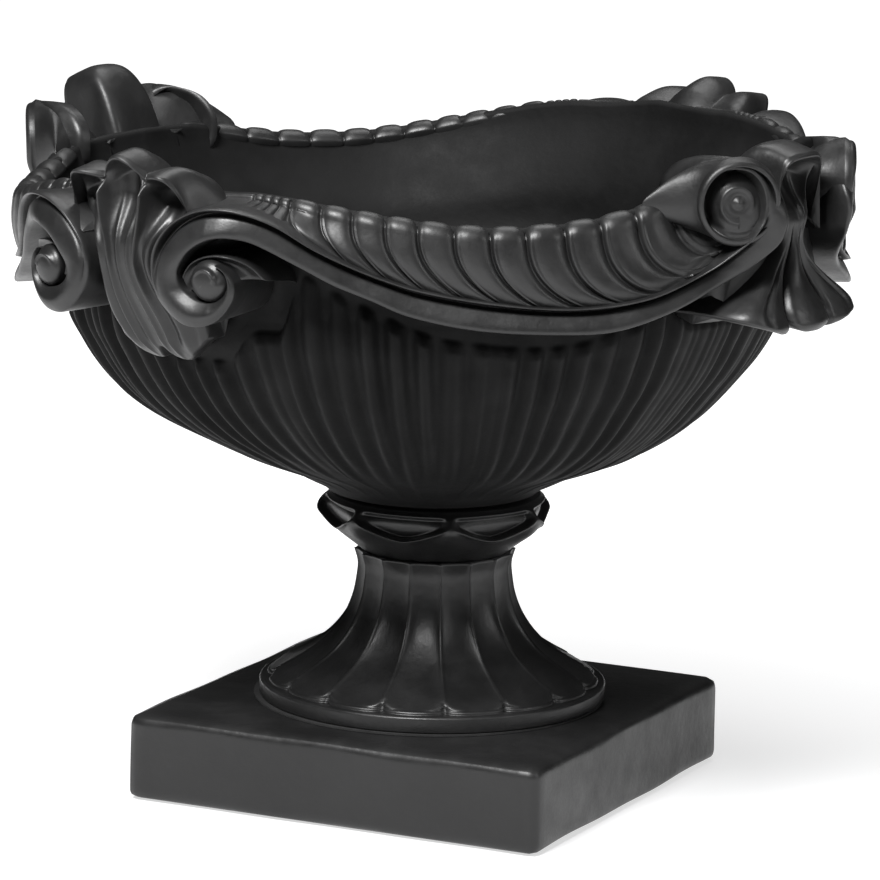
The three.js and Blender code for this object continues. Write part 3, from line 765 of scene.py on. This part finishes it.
# %% Carve the band
S_BEGINS = len(volute_marks)        # the mark where the S begins
S_ENDS = S_BEGINS + len(band_marks)  # and where the band starts to wrap the small volute


def line_through(marks, at):
    side = through([(i, mark[0]) for i, mark in enumerate(marks)])(at)
    height = through([(i, mark[1]) for i, mark in enumerate(marks)])(at)
    return side, height


def band_proud(at):
    """How far the band stands before the face: both volutes stand well out."""
    big = VOLUTE_PROUD * (1 - smooth(S_BEGINS - 3, S_BEGINS + 2, at))
    small = DRUM_PROUD * smooth(S_ENDS - 4, S_ENDS + 1, at)
    return big + small * smooth(S_ENDS + 7, S_ENDS + 4, at)


def band_profile(across, at):
    """Depth of the carving across the band, from its bead at 0 to its lower edge at 1."""
    beaded = smooth(6, 10, at) * smooth(S_ENDS + 2.5, S_ENDS, at)
    bead = 5.6 * np.exp(-(((across - 0.075) / 0.060) ** 4))
    groove = -4.6 * np.exp(-(((across - 0.21) / 0.075) ** 2))
    rise = np.clip((across - 0.2) / 0.8, 0, 1)
    sill = lerp(9.0, 5.0, smooth(S_ENDS - 5, S_ENDS, at)) * rise**0.9 - 3.0 * rise**6
    straight = -3.0 + beaded * (bead + groove) + sill
    plump = 5.6 * np.sin(math.pi * np.clip(across * 0.92 + 0.10, 0, 1)) - 2.5
    rolled = smooth(S_ENDS, S_ENDS + 2, at)
    plain = lerp(straight, plump, (1 - beaded) * (1 - rolled))
    edge = -14.0 * np.clip(across - 0.12, 0, 1) ** 2.0 + 1.0
    return lerp(plain, edge, rolled)


WRAP_DEPTH = 24                     # how deep the band reaches into the roll that it wraps


def scroll_band():
    at = np.linspace(0, len(upper) - 1, 470)
    side_u, z_u = line_through(upper, at)
    side_l, z_l = line_through(lower, at)
    face = face_radius(np.clip((side_u + side_l) / 2, VOLUTE[0], DRUM[0])) + band_proud(at)
    turned = smooth(S_ENDS - 4, S_ENDS - 1, at)
    wrapped = smooth(S_ENDS - 2, S_ENDS + 1, at)
    rows = []

    def row(across, drop=0.0, rooted=0.0):
        """A line along the band; rooted is 1 where it lies in the wall, or in the roll behind the wrap."""
        side = lerp(side_u, side_l, across)
        z = lerp(z_u, z_l, across)
        radius = face + band_profile(across, at) - drop
        u = (side - DRUM[0]) * STEP * turned
        turned_side = side - u * (1 - FACE_PLACE) / STEP
        inner = lerp(root(side, z), radius + u * FACE_SLOPE - WRAP_DEPTH, wrapped)
        rows.append(polar(turned_side, lerp(radius + u * FACE_SLOPE, inner, rooted), z))

    row(0.10, rooted=1)
    row(0.0, drop=9.0)
    row(0.0, drop=3.2)
    row(0.0, drop=1.2)
    for across in np.linspace(0.012, 0.965, 44):
        row(across)
    for drop in (1.0, 2.6, 9.0):
        row(1.0, drop=drop)
    row(0.90, rooted=1)
    row(0.5, rooted=1)
    rows.append(rows[0])
    return carve("scroll_band", rows)


four_sides(scroll_band(), "scroll_band")
print("band done")

# %% [markdown]
# ## Inside the big volute
# Behind the band's first turn lies a dark hollow, and in it a smaller trumpet: its lip curls round
# the eye and widens to the right, where it sinks back into the bowl. The eye is a plain dome, with
# the last of the band's curl lying against it.

# %% Carve the trumpet and the eye
TRUMPET_LOW = -14                   # angle where the trumpet has sunk into the bowl
TRUMPET_HIGH = 205                  # angle where its curl ends beside the eye
EYE_REACH = 14.5                    # radius of the eye
trumpet_lip = through([
    (-34, 38), (-9.6, 38.8), (9.4, 32.3), (35, 24.8), (55, 20.5), (77, 17.8), (115, 16.9), (155, 20.5),
    (186, 25.6), (TRUMPET_HIGH, 27),
])


def trumpet():
    angle = np.linspace(TRUMPET_LOW, TRUMPET_HIGH, 170)
    lip = trumpet_lip(angle)
    face = face_radius(VOLUTE[0]) + VOLUTE_PROUD
    lip_drop = 5 + 13 * smooth(60, -10, angle) + 38 * smooth(6, -34, angle)
    lip_drop = lip_drop + 4 * smooth(120, 200, angle)
    sunk = smooth(0, TRUMPET_LOW, angle)
    rows = []

    def row(reach, drop):
        side, z = about(VOLUTE, angle, reach)
        rows.append(polar(side, lerp(face - drop, root(side, z) + 3, sunk), z))

    def sink(reach):
        side, z = about(VOLUTE, angle, reach)
        rows.append(polar(side, root(side, z), z))

    sink(8 + 0 * lip)
    row(8 + 0 * lip, 8)
    for t in np.linspace(0, 1, 22):
        reach = lerp(12.5, lip - 1.2, t)
        dish = 3.0 * np.sin(math.pi * t) + 4.0 * np.sin(math.pi * t) * smooth(100, 0, angle)
        row(reach, lerp(5.0, lip_drop, t**0.8) + dish)
    row(lip - 0.6, lip_drop - 1.1)
    row(lip, lip_drop - 0.9)
    row(lip + 0.5, lip_drop + 0.5)
    row(lip + 0.3, lip_drop + 6)
    sink(lip)
    rows.append(rows[0])
    return carve("volute_trumpet", rows)


def eye():
    angle = np.linspace(0, 360, 97)
    face = face_radius(VOLUTE[0]) + VOLUTE_PROUD
    turn = (angle + 20) % 360
    spiral = 5.5 + turn / 360 * 9.0
    curled = smooth(0, 40, turn) * smooth(210, 120, turn)
    rows = []
    for t in np.linspace(0.02, 1, 30):
        reach = EYE_REACH * math.sin(t * math.pi / 2)
        curl = 1.9 * np.exp(-(((reach - spiral) / 1.2) ** 2)) * curled
        step = -1.2 * smooth(spiral, spiral + 2.5, reach) * curled
        side, z = about(VOLUTE, angle, reach)
        rows.append(polar(side, face + 8.0 * math.cos(t * math.pi / 2) - 4.5 + curl + step, z))
    side, z = about(VOLUTE, angle, EYE_REACH)
    rows.append(polar(side, root(side, z), z))
    return carve("volute_eye", rows)


four_sides(trumpet(), "volute_trumpet")
four_sides(eye(), "volute_eye")
print("big volute done")

# %% [markdown]
# ## The small volute
# The small volute is the end of a thick roll. The roll runs inward over the rim and sinks to the
# crest. Its front is hollowed, and a low boss with a nipple fills the hollow.

# %% Carve the roll
# the height of the roll's top, from its front (0) to the crest (1)
roll_top = through([
    (0, 495.6), (0.2, 494.2), (0.4, 492.2), (0.55, 489), (0.68, 484), (0.8, 476), (0.9, 467), (1.0, 455),
])
FACE_TURN = math.atan2(FACE_SLOPE, FACE_PLACE)
DRUM_REACH = 30.0                   # radius of the roll at its front
RECESS_REACH = 26.0                 # radius of the hollow in its front
BOSS_REACH = 21.5                   # radius of the boss in the hollow
EDGE_ROUND = 4.0                    # how far back the front's round edge reaches
ROLL_END = 289                      # radius, from the bowl's middle, where the roll ends in the crest


def small_roll():
    angle = np.linspace(-90, 270, 145)
    front = face_radius(DRUM[0]) + DRUM_PROUD + 1
    open_edge = smooth(-40, 45, angle) * smooth(258, 200, angle)
    floor = -lerp(6.0, 15.0, open_edge)
    arris = lerp(-3.5, 1.0, open_edge)
    rows = []

    def row(reach, depth):
        """A ring on the turned front face, at a depth behind it."""
        along = reach * np.cos(angle * DEGREE)
        u = along * math.cos(FACE_TURN) - depth * math.sin(FACE_TURN)
        radius = front + along * math.sin(FACE_TURN) + depth * math.cos(FACE_TURN)
        rows.append(polar(DRUM[0] + u / STEP, radius, DRUM[1] + reach * np.sin(angle * DEGREE)))

    swirl_reach = 8.5 + 5 * (angle + 90) / 360
    for reach in np.linspace(0.3, BOSS_REACH - 1, 28):
        nipple = 1.6 * math.exp(-((reach / 2.6) ** 2)) - 0.8 * math.exp(-(((reach - 5.0) / 1.3) ** 2))
        swirl = 1.8 * np.exp(-(((reach - swirl_reach) / 1.9) ** 2)) * smooth(-60, 20, angle)
        dome = math.sqrt(max(0.0, 1 - (reach / BOSS_REACH) ** 2))
        row(reach, lerp(floor, -3.0, dome) + nipple + swirl - 0.7)
    for t in np.linspace(0, 1, 5)[1:]:
        row(lerp(BOSS_REACH - 1, RECESS_REACH - 1.2, t), lerp(floor + 1.0, floor, t))
    for t in np.linspace(0, 1, 7)[1:]:
        row(RECESS_REACH - 1.2 + 1.2 * t, lerp(floor, arris, t**0.7))
    for turn in np.linspace(0, math.pi / 2, 9)[1:]:
        row(lerp(RECESS_REACH, DRUM_REACH, math.sin(turn)), arris - EDGE_ROUND * (1 - math.cos(turn)))
    for t in np.linspace(0, 1, 46)[1:]:
        top = float(roll_top(t))
        middle = min(DRUM[1], top - 12)
        wide = lerp(DRUM_REACH, 44, smooth(0.1, 0.9, t))
        along = wide * np.cos(angle * DEGREE)
        u = along * math.cos(FACE_TURN * (1 - t)) - 14 * t * t + lerp(3.5, 0, t)
        radius = lerp(front - EDGE_ROUND, ROLL_END, t) + along * math.sin(FACE_TURN * (1 - t))
        rise = np.sin(angle * DEGREE)
        z = middle + rise * np.where(rise > 0, top - middle, lerp(DRUM_REACH, 12, t))
        rows.append(polar(DRUM[0] + u / STEP, radius, z))
    return carve("small_roll", rows)


four_sides(small_roll(), "small_roll")
print("small volute done")

# %% [markdown]
# ## The gadroons
# Between the bead and the crest runs a strip of plump lobes. Each lobe rolls over the crest, so the
# crest is scalloped. The furrows between them lean toward the small volute as they run down, and a
# thin fillet lies in each furrow. Toward the big volute the lobes shrink to beads.

# %% Carve the gadroons
# places along the crest where one lobe meets the next
furrow_marks = [
    6.0, 10.8, 15.6, 16.9, 18.2, 19.4, 20.8, 25.2, 29.5, 33.9, 38.2, 43.0, 47.8, 52.6, 58.0, 63.2, 68.5,
    74.0, 80.0,
]
PER_LOBE = 28                       # columns across one lobe
FULL_HEIGHT = 54                    # height of the strip where the lobes have their full size
FULL_PITCH = 5.2                    # and their pitch there, in degrees


def gadroon_sheet(crest_side, pitch):
    """The smooth sheet under the lobes, from the bead up and over the crest: side, radius, height."""
    crest_z = crest_height(crest_side)
    crest_r = crest_radius(crest_side)
    tall = np.clip((crest_z - band_top(crest_side + 3)) / FULL_HEIGHT, 0.05, 1)
    sweep = 1.35 * pitch * tall * smooth(14, 18, crest_side) * smooth(84, 74, crest_side)
    top_roll = 1.5 + 8.5 * tall
    sides, radii, heights = [], [], []
    for t in np.linspace(1.04, 0, 46):
        side = np.minimum(crest_side + sweep * (0.08 * t + 0.92 * t**2.6), 84)
        foot_r = face_radius(side) - 2.5 + 11 * smooth(24, 15, side)
        rise = 1 - t
        belly = 2.5 * math.sin(math.pi * max(rise, 0)) * tall
        sides.append(side)
        radii.append(lerp(foot_r, crest_r + 2, smooth(-0.1, 1.0, rise)) + belly)
        heights.append(lerp(band_top(side) - 1, crest_z - top_roll, np.sign(rise) * abs(rise) ** 1.1))
    for turn in np.linspace(0, 165, 14)[1:]:
        sides.append(crest_side)
        radii.append(crest_r + 2 + top_roll * (math.cos(turn * DEGREE) - 1))
        heights.append(crest_z + top_roll * (math.sin(turn * DEGREE) - 1))
    return np.array(sides), np.array(radii), np.array(heights)


def lobe_relief(crest_side, pitch, share, count):
    """How high each lobe stands on the sheet, for every row and column."""
    up = np.linspace(0, 1, count)[:, None]
    lobe = np.clip(1 - np.abs(2 * share - 1) ** 2.8, 0, 1) ** 0.55
    fillet = np.exp(-(((share - 0.085) / 0.03) ** 2)) * smooth(0.9, 0.7, up)
    size = np.clip(pitch / FULL_PITCH, 0.3, 1) * smooth(15.0, 15.9, crest_side)
    relief = size * (7.2 * lobe + 2.0 * fillet - 5.0) * lerp(0.35, 1, smooth(0.0, 0.22, up))
    return relief * lerp(1.0, 0.45, smooth(0.86, 1.0, up))


def gadroons():
    lobes = len(furrow_marks) - 1
    index = np.linspace(0, lobes, lobes * PER_LOBE + 1)
    crest_side = np.interp(index, np.arange(lobes + 1), furrow_marks)
    pitch = np.gradient(crest_side, index)
    side, radius, z = gadroon_sheet(crest_side, pitch)
    out_r = np.gradient(z, axis=0)
    out_z = -np.gradient(radius, axis=0)
    length = np.hypot(out_r, out_z) + 1e-6
    relief = lobe_relief(crest_side, pitch, index % 1, len(radius))
    rows = [*polar(side, radius + relief * out_r / length, z + relief * out_z / length)]
    crest_z = crest_height(crest_side)
    crest_r = crest_radius(crest_side)
    rows.append(polar(crest_side, crest_r - 10, crest_z - 14))
    rows.append(polar(crest_side, crest_r - 9, crest_z - 26))
    foot_z = z[0] - 3
    rows.append(polar(side[0], root(side[0], foot_z), foot_z))
    rows.append(rows[0])
    return carve("gadroons", rows)


four_sides(gadroons(), "gadroons")
print("gadroons done")

# %% [markdown]
# ## The corner leaves
# A leaf is one surface that starts inside the bowl, comes forward as smooth rolls, turns over the
# leaf's lips and runs down the front: first into dark hollows under the lips, then along the ribbed
# stalk, and last over the skirt. Every vertex column follows one line of the leaf from end to end, so
# the ribs gather at the waist and spread again below. A leaf is given by six curves: its half width at
# a height, its lip's height and radius across the leaf, the radius of its front, how its top dips
# toward the bowl, and the height of its skirt's edge. `c` runs from -1 to 1 across the leaf.

# %% Carve a corner leaf
LEAF_START = 276                    # radius where a leaf comes out of the bowl's wall
LEAF_ROOT_LOW = 436                 # height of its two sides there
LEAF_INSIDE = 430                   # height of its root inside the wall


def corner_leaf(name, half_width, lip_z, lip_out, front, back_rise, skirt_z):
    across = np.linspace(-1, 1, 181)
    edge = np.clip(1 - np.abs(across) ** 9, 0, 1) ** 0.4
    lip_height = lip_z(across)
    lip_radius = lip_out(across)
    wide = half_width(lip_height)
    rows = []

    def row(reach, radius, z):
        rows.append(polar(reach / STEP, radius, z))

    for t in np.linspace(0, 1, 44):
        radius = lerp(LEAF_START, lip_radius - 2.0, t)
        spread = lerp(1.34, 1, smooth(288, 330, radius))
        z = lerp(LEAF_ROOT_LOW, lip_height + back_rise(radius), edge)
        row(across * wide * spread, radius, z)
    for turn in np.linspace(20, 160, 7):
        z = lip_height - 1.6 + 1.6 * math.cos(turn * DEGREE)
        radius = lip_radius - 2.0 + 2.0 * math.sin(turn * DEGREE)
        row(across * wide, lerp(lip_radius - 12, radius, edge), lerp(LEAF_ROOT_LOW, z, edge))
    foot = skirt_z(across)
    for t in np.linspace(0.01, 1, 120):
        z = lerp(lip_height - 3.2, foot, t)
        row(across * half_width(z), lerp(290, front(across, z, lip_height, lip_radius), edge), z)
    for drop, inward in ((1.2, 1.6), (2.0, 5.0), (1.2, 12.0)):
        z = foot - drop
        radius = front(across, foot, lip_height, lip_radius) - inward
        row(across * half_width(foot) * (1 - inward / 300), lerp(270, radius, edge), z)
    row(across * half_width(foot) * 0.9, root(0, foot + 8), foot + 8)
    row(across * 10, root(0, LEAF_INSIDE) + 0 * across, LEAF_INSIDE + 0 * across)
    rows.append(rows[0])
    return carve(name, rows)


def ridge_at(c, places, width):
    return sum(np.exp(-(((np.abs(c) - place) / width) ** 2)) for place in places)


# %% The broad leaf
broad_width = through([
    (350, 36), (360, 41), (374, 46), (388, 47), (400, 43), (411, 38), (422, 34.5), (431, 34), (443, 38),
    (454, 46), (464, 52), (476, 56), (488, 57), (505, 58),
])
LOBE = 0.35                         # where the middle lobe of the broad leaf meets its side lobes


def broad_lip_z(c):
    out = np.abs(c) - 0.66
    middle = 504 - 15.5 * (np.abs(c) / LOBE) ** 1.8
    outer = 493 - np.where(out < 0, 4.5 * (out / 0.31) ** 2, 15 * (out / 0.34) ** 2.4)
    return np.where(np.abs(c) < LOBE, middle, outer)


def broad_lip_out(c):
    middle = 336 - 10 * (np.abs(c) / LOBE) ** 2
    outer = 339 - 12 * (np.abs(np.abs(c) - 0.66) / 0.31) ** 2
    return np.where(np.abs(c) < LOBE, middle, outer)


broad_back = through([
    (272, -72), (276, -46), (279, -31), (284, -18), (292, -7), (302, -1), (313, 3.4), (324, 2.6), (337, 0),
])
broad_stalk = through([
    (352, 274), (358, 285), (366, 294), (380, 304), (395, 314), (410, 323), (428, 330), (445, 331),
    (465, 332), (480, 332), (505, 333),
])


def broad_front(c, z, lip_height, lip_radius):
    side_lobe = np.clip(np.abs(np.abs(c) - 0.66) / 0.31, 0, 1)
    hollow = np.where(np.abs(c) < LOBE, 1 - (np.abs(c) / LOBE) ** 2, 1.3 * (1 - side_lobe**2))
    rib = 4.4 * ridge_at(c, (LOBE,), 0.05) * smooth(352, 372, z)
    rib = rib + 2.2 * ridge_at(c, (0.13,), 0.045) * smooth(500, 455, z) * smooth(356, 376, z)
    rib = rib + 3.4 * ridge_at(c, (0.66,), 0.09) * smooth(484, 452, z) * smooth(352, 380, z)
    rib = rib - 2.4 * ridge_at(c, (0.48,), 0.05) * smooth(446, 424, z) * smooth(360, 380, z)
    rib = rib - 2.0 * ridge_at(c, (0.84,), 0.05) * smooth(446, 424, z) * smooth(360, 380, z)
    stalk = broad_stalk(z) - 17 * hollow * smooth(440, 478, z) + rib
    stalk = stalk - 5 * np.abs(c) ** 3 * smooth(470, 440, z)
    under = np.clip((lip_height - 3.2 - z) / 9, 0, 1)
    return lerp(lip_radius - 1.5, stalk, under**0.6)


def broad_skirt(c):
    return 357.5 + 10 * np.exp(-((c / 0.16) ** 2)) + 17 * np.clip((np.abs(c) - 0.44) / 0.56, 0, 1) ** 1.6


leaf = corner_leaf(
    "broad_leaf", broad_width, broad_lip_z, broad_lip_out, broad_front, broad_back, broad_skirt,
)
two_corners(
    leaf, "broad_leaf_carving", (0, 176), ("broad_leaf_front", "broad_leaf_back"), factors=(1, 0.83),
)

# %% The rolled leaf
rolled_width = through([
    (366, 70), (375, 72), (384, 72), (391, 64), (399, 51), (408, 37), (417, 25), (426, 17), (436, 14),
    (446, 14), (458, 16), (470, 20), (482, 25), (492, 29.5), (505, 30),
])
MIDDLE = 0.30                       # where the middle lobe of the rolled leaf's skirt meets its side lobes


def rolled_lip_z(c):
    return 491.5 - 12 * np.abs(c) ** 3


def rolled_lip_out(c):
    return 345 - 6 * c**2


rolled_back = through([
    (272, -66), (277, -44), (282, -28), (290, -12), (300, 0), (310, 6.5), (320, 7.5), (332, 4.5), (345, 0),
])
rolled_stalk = through([
    (366, 340), (371, 345), (380, 343), (390, 338), (400, 333), (411, 330), (424, 331), (436, 333),
    (449, 335), (462, 336), (474, 338), (485, 340), (500, 342),
])


def rolled_front(c, z, lip_height, lip_radius):
    rib = 3.8 * ridge_at(c, (0.84,), 0.10) * smooth(425, 450, z)
    rib = rib + 3.0 * np.exp(-(((c - 0.34) / 0.13) ** 2)) * smooth(486, 465, z) * smooth(430, 450, z)
    middle = 6.5 * np.clip(1 - (c / MIDDLE) ** 2, 0, 1) * smooth(440, 408, z)
    beside = np.clip((np.abs(c) - MIDDLE) / (1 - MIDDLE), 0, 1)
    flap = 5.0 * np.sin(math.pi * beside) * smooth(436, 400, z)
    pleat = -3.0 * ridge_at(c, (0.62,), 0.05) * smooth(430, 405, z) * smooth(368, 390, z)
    groove = -5.5 * ridge_at(c, (MIDDLE,), 0.035) * smooth(444, 425, z)
    cup = 22 * (1 - np.abs(c) ** 2.2) * smooth(442, 476, z)
    under = np.clip((lip_height - 3.2 - z) / 10, 0, 1)
    stalk = rolled_stalk(z) - cup + rib + middle + flap + pleat + groove
    return lerp(lip_radius - 1.5, stalk, under**0.6)


def rolled_skirt(c):
    middle = 369 + 9 * (np.abs(c) / MIDDLE) ** 2.5
    flap = 368.5 + 15.5 * (np.clip(np.abs(c) - MIDDLE, 0, 1) / (1 - MIDDLE)) ** 1.2
    return lerp(middle, flap, smooth(MIDDLE - 0.01, MIDDLE + 0.03, np.abs(c)))


# A plain bed fills the space behind the rolled leaf, between the two small volutes.
bed_width = through([(372, 66), (395, 60), (420, 50), (450, 52), (472, 50)])
BED_LOW = 374
BED_HIGH = 466


def leaf_bed():
    across = np.linspace(-1, 1, 41)
    rows = []
    for z in np.linspace(BED_LOW, BED_HIGH, 24):
        radius = 323 - 7 * across**2 - 40 * smooth(452, 468, z) - 30 * smooth(384, 372, z)
        rows.append(polar(across * bed_width(z) / STEP, radius, z))
    high_z, low_z = BED_HIGH - 4, BED_LOW + 6
    rows.append(polar(across * 46 / STEP, root(90, high_z) + 0 * across, high_z))
    rows.append(polar(across * 60 / STEP, root(90, low_z) + 0 * across, low_z))
    rows.append(rows[0])
    return carve("leaf_bed", rows)


two_corners(leaf_bed(), "leaf_bed", (90, 270), ("rolled_leaf_right", "rolled_leaf_left"))
leaf = corner_leaf(
    "rolled_leaf", rolled_width, rolled_lip_z, rolled_lip_out, rolled_front, rolled_back, rolled_skirt,
)
two_corners(
    leaf, "rolled_leaf_carving", (90, 270), ("rolled_leaf_right", "rolled_leaf_left"), factors=(1, 1.3),
)
print("leaves done")

# %% [markdown]
# ## The hidden fittings
# A steel tube with washers and nuts ties the castings together, and rubber rings and a bead of mortar
# bed them. These solids have their right shape already, so they only get finishes: brushed, slightly
# stained steel, matt rubber with a bloom, and grainy mortar.

# %% Finishes for the fittings
def fitting_finish(name, pale, dark, rough, metal, grain_scale, grain_depth):
    finish = Finish(name)
    where = finish.node("TexCoord").outputs["Object"]
    stain = finish.noise(60.0, 5.0, 0.6, where)
    grain = finish.noise(grain_scale, 3.0, 0.6, where)
    finish.plug(finish.mix(finish.band(stain, 0.35, 0.7), pale, dark), finish.shader.inputs["Base Color"])
    finish.plug(finish.band(grain, 0.3, 0.7, rough - 0.07, rough + 0.07), finish.shader.inputs["Roughness"])
    finish.plug(finish.bump(grain, 0.3, grain_depth), finish.shader.inputs["Normal"])
    finish.shader.inputs["Metallic"].default_value = metal
    return finish.material


STEEL = fitting_finish("tie_steel", grey(0.42), grey(0.24), 0.38, 1.0, 420.0, 0.0002)
RUBBER = fitting_finish("seal_rubber", grey(0.020), grey(0.035), 0.70, 0.0, 300.0, 0.0002)
MORTAR = fitting_finish("bedding_mortar", grey(0.030), grey(0.016), 0.85, 0.0, 500.0, 0.0006)
fittings = {
    "plinth_bead": MORTAR,
    "bowl_gasket": RUBBER,
    "drain_seal": RUBBER,
    "tie_tube": STEEL,
    "upper_washer": STEEL,
    "upper_nut": STEEL,
    "lower_washer": STEEL,
    "lower_nut": STEEL,
}
for node, material in fittings.items():
    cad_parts[node].material_slots[0].material = material
print("fittings:", len(fittings))

# %% [markdown]
# ## Floor, light and camera
# The urn stands on a plain pale floor. A large soft light hangs in front of it and a little to the
# left, a second one fills from the right, and a third comes from above. The floor glows for the
# camera alone, more with the distance from the urn, so the background is white while the shadow
# stays. Little light comes back up from it, so the undersides of the carving stay dark.

# %% Floor
SHADOW_REACH = (0.25, 0.75)         # distances from the urn's middle between which the glow grows
FLOOR_GLOW = (0.62, 1.0)            # strength of the glow near the urn and far off


def floor():
    bpy.ops.object.select_all(action="DESELECT")
    bpy.ops.mesh.primitive_circle_add(vertices=96, radius=6, fill_type="NGON", location=(0, 0, -0.0005))
    ground = bpy.context.object
    ground.name = ground.data.name = "floor"
    finish = Finish("pale_floor")
    finish.shader.inputs["Roughness"].default_value = 0.9
    finish.shader.inputs["Specular IOR Level"].default_value = 0.1
    rays = finish.node("LightPath")
    seen = finish.value(rays.outputs["Is Camera Ray"])
    seen = seen.math("MAXIMUM", finish.value(rays.outputs["Is Glossy Ray"]))
    seen = seen.math("MAXIMUM", finish.value(rays.outputs["Is Transmission Ray"]))
    finish.plug(finish.mix(seen, grey(0.16), grey(0.50)), finish.shader.inputs["Base Color"])
    place = finish.node("TexCoord").outputs["Object"]
    away = finish.node("VectorMath", {"operation": "LENGTH"}, Vector=place)
    glow = seen * finish.band(finish.value(away.outputs["Value"]), *SHADOW_REACH, *FLOOR_GLOW)
    finish.plug(finish.mix(glow, grey(0.0), (1, 1, 1, 1)), finish.shader.inputs["Emission Color"])
    finish.shader.inputs["Emission Strength"].default_value = 1.0
    ground.data.materials.append(finish.material)


floor()

# %% Lights
AIM = 0.3                           # height that the lights are aimed at


def soft_light(name, azimuth, distance, height, size, power):
    """A rectangular soft light at an azimuth seen from the camera's own direction."""
    lamp = bpy.data.lights.new(name, "AREA")
    lamp.shape = "RECTANGLE"
    lamp.size, lamp.size_y = size
    lamp.energy = power
    light = bpy.data.objects.new(name, lamp)
    bpy.context.scene.collection.objects.link(light)
    middle = Vector(AXIS * MM)
    light.location = middle + Vector(polar(azimuth + VIEW_TURN, distance, height))
    aimed = middle + Vector((0, 0, AIM)) - light.location
    light.rotation_euler = aimed.to_track_quat("-Z", "Y").to_euler()


soft_light("key", -26, 2.0, 2.6, (0.9, 0.9), 150)
soft_light("fill", 62, 2.6, 1.5, (0.6, 1.2), 12)
soft_light("top", 170, 1.2, 3.0, (1.8, 1.8), 34)

world = bpy.data.worlds.new("studio")
bpy.context.scene.world = world
world.use_nodes = True
seen = world.node_tree.nodes.new("ShaderNodeLightPath")
level = world.node_tree.nodes.new("ShaderNodeMapRange")
level.inputs["To Min"].default_value = 0.03
level.inputs["To Max"].default_value = 1.0
world.node_tree.links.new(seen.outputs["Is Camera Ray"], level.inputs["Value"])
world.node_tree.links.new(level.outputs["Result"], world.node_tree.nodes["Background"].inputs["Strength"])
world.node_tree.nodes["Background"].inputs["Color"].default_value = (1, 1, 1, 1)

# %% Camera
CAMERA_DISTANCE = 4.336             # metres from the plinth's axis
CAMERA_HEIGHT = 1.1278              # metres above the floor
PITCH = 0.1982                      # radians that it looks down, aside and tilts over
YAW = 0.0011
ROLL = 0.0198
FOCAL_PIXELS = 6000
FRAME_PIXELS = 880
SENSOR = 36                         # width of the sensor in millimetres


def camera():
    data = bpy.data.cameras.new("camera")
    data.sensor_width = SENSOR
    data.lens = FOCAL_PIXELS / FRAME_PIXELS * SENSOR
    data.clip_end = 60
    eye = bpy.data.objects.new("camera", data)
    bpy.context.scene.collection.objects.link(eye)
    ahead = Vector((math.sin(YAW) * math.cos(PITCH), math.cos(YAW) * math.cos(PITCH), -math.sin(PITCH)))
    right = Vector((math.cos(YAW), -math.sin(YAW), 0))
    up = right.cross(ahead)
    rolled_right = right * math.cos(ROLL) + up * math.sin(ROLL)
    rolled_up = up * math.cos(ROLL) - right * math.sin(ROLL)
    turn = Matrix.Rotation(VIEW_TURN * DEGREE, 3, "Z")
    axes = Matrix((rolled_right, rolled_up, -ahead)).transposed()
    place = (turn @ axes).to_4x4()
    place.translation = Vector(AXIS * MM) + turn @ Vector((0, -CAMERA_DISTANCE, CAMERA_HEIGHT))
    eye.matrix_world = place
    bpy.context.scene.camera = eye


camera()
bpy.context.scene.view_settings.view_transform = "Standard"
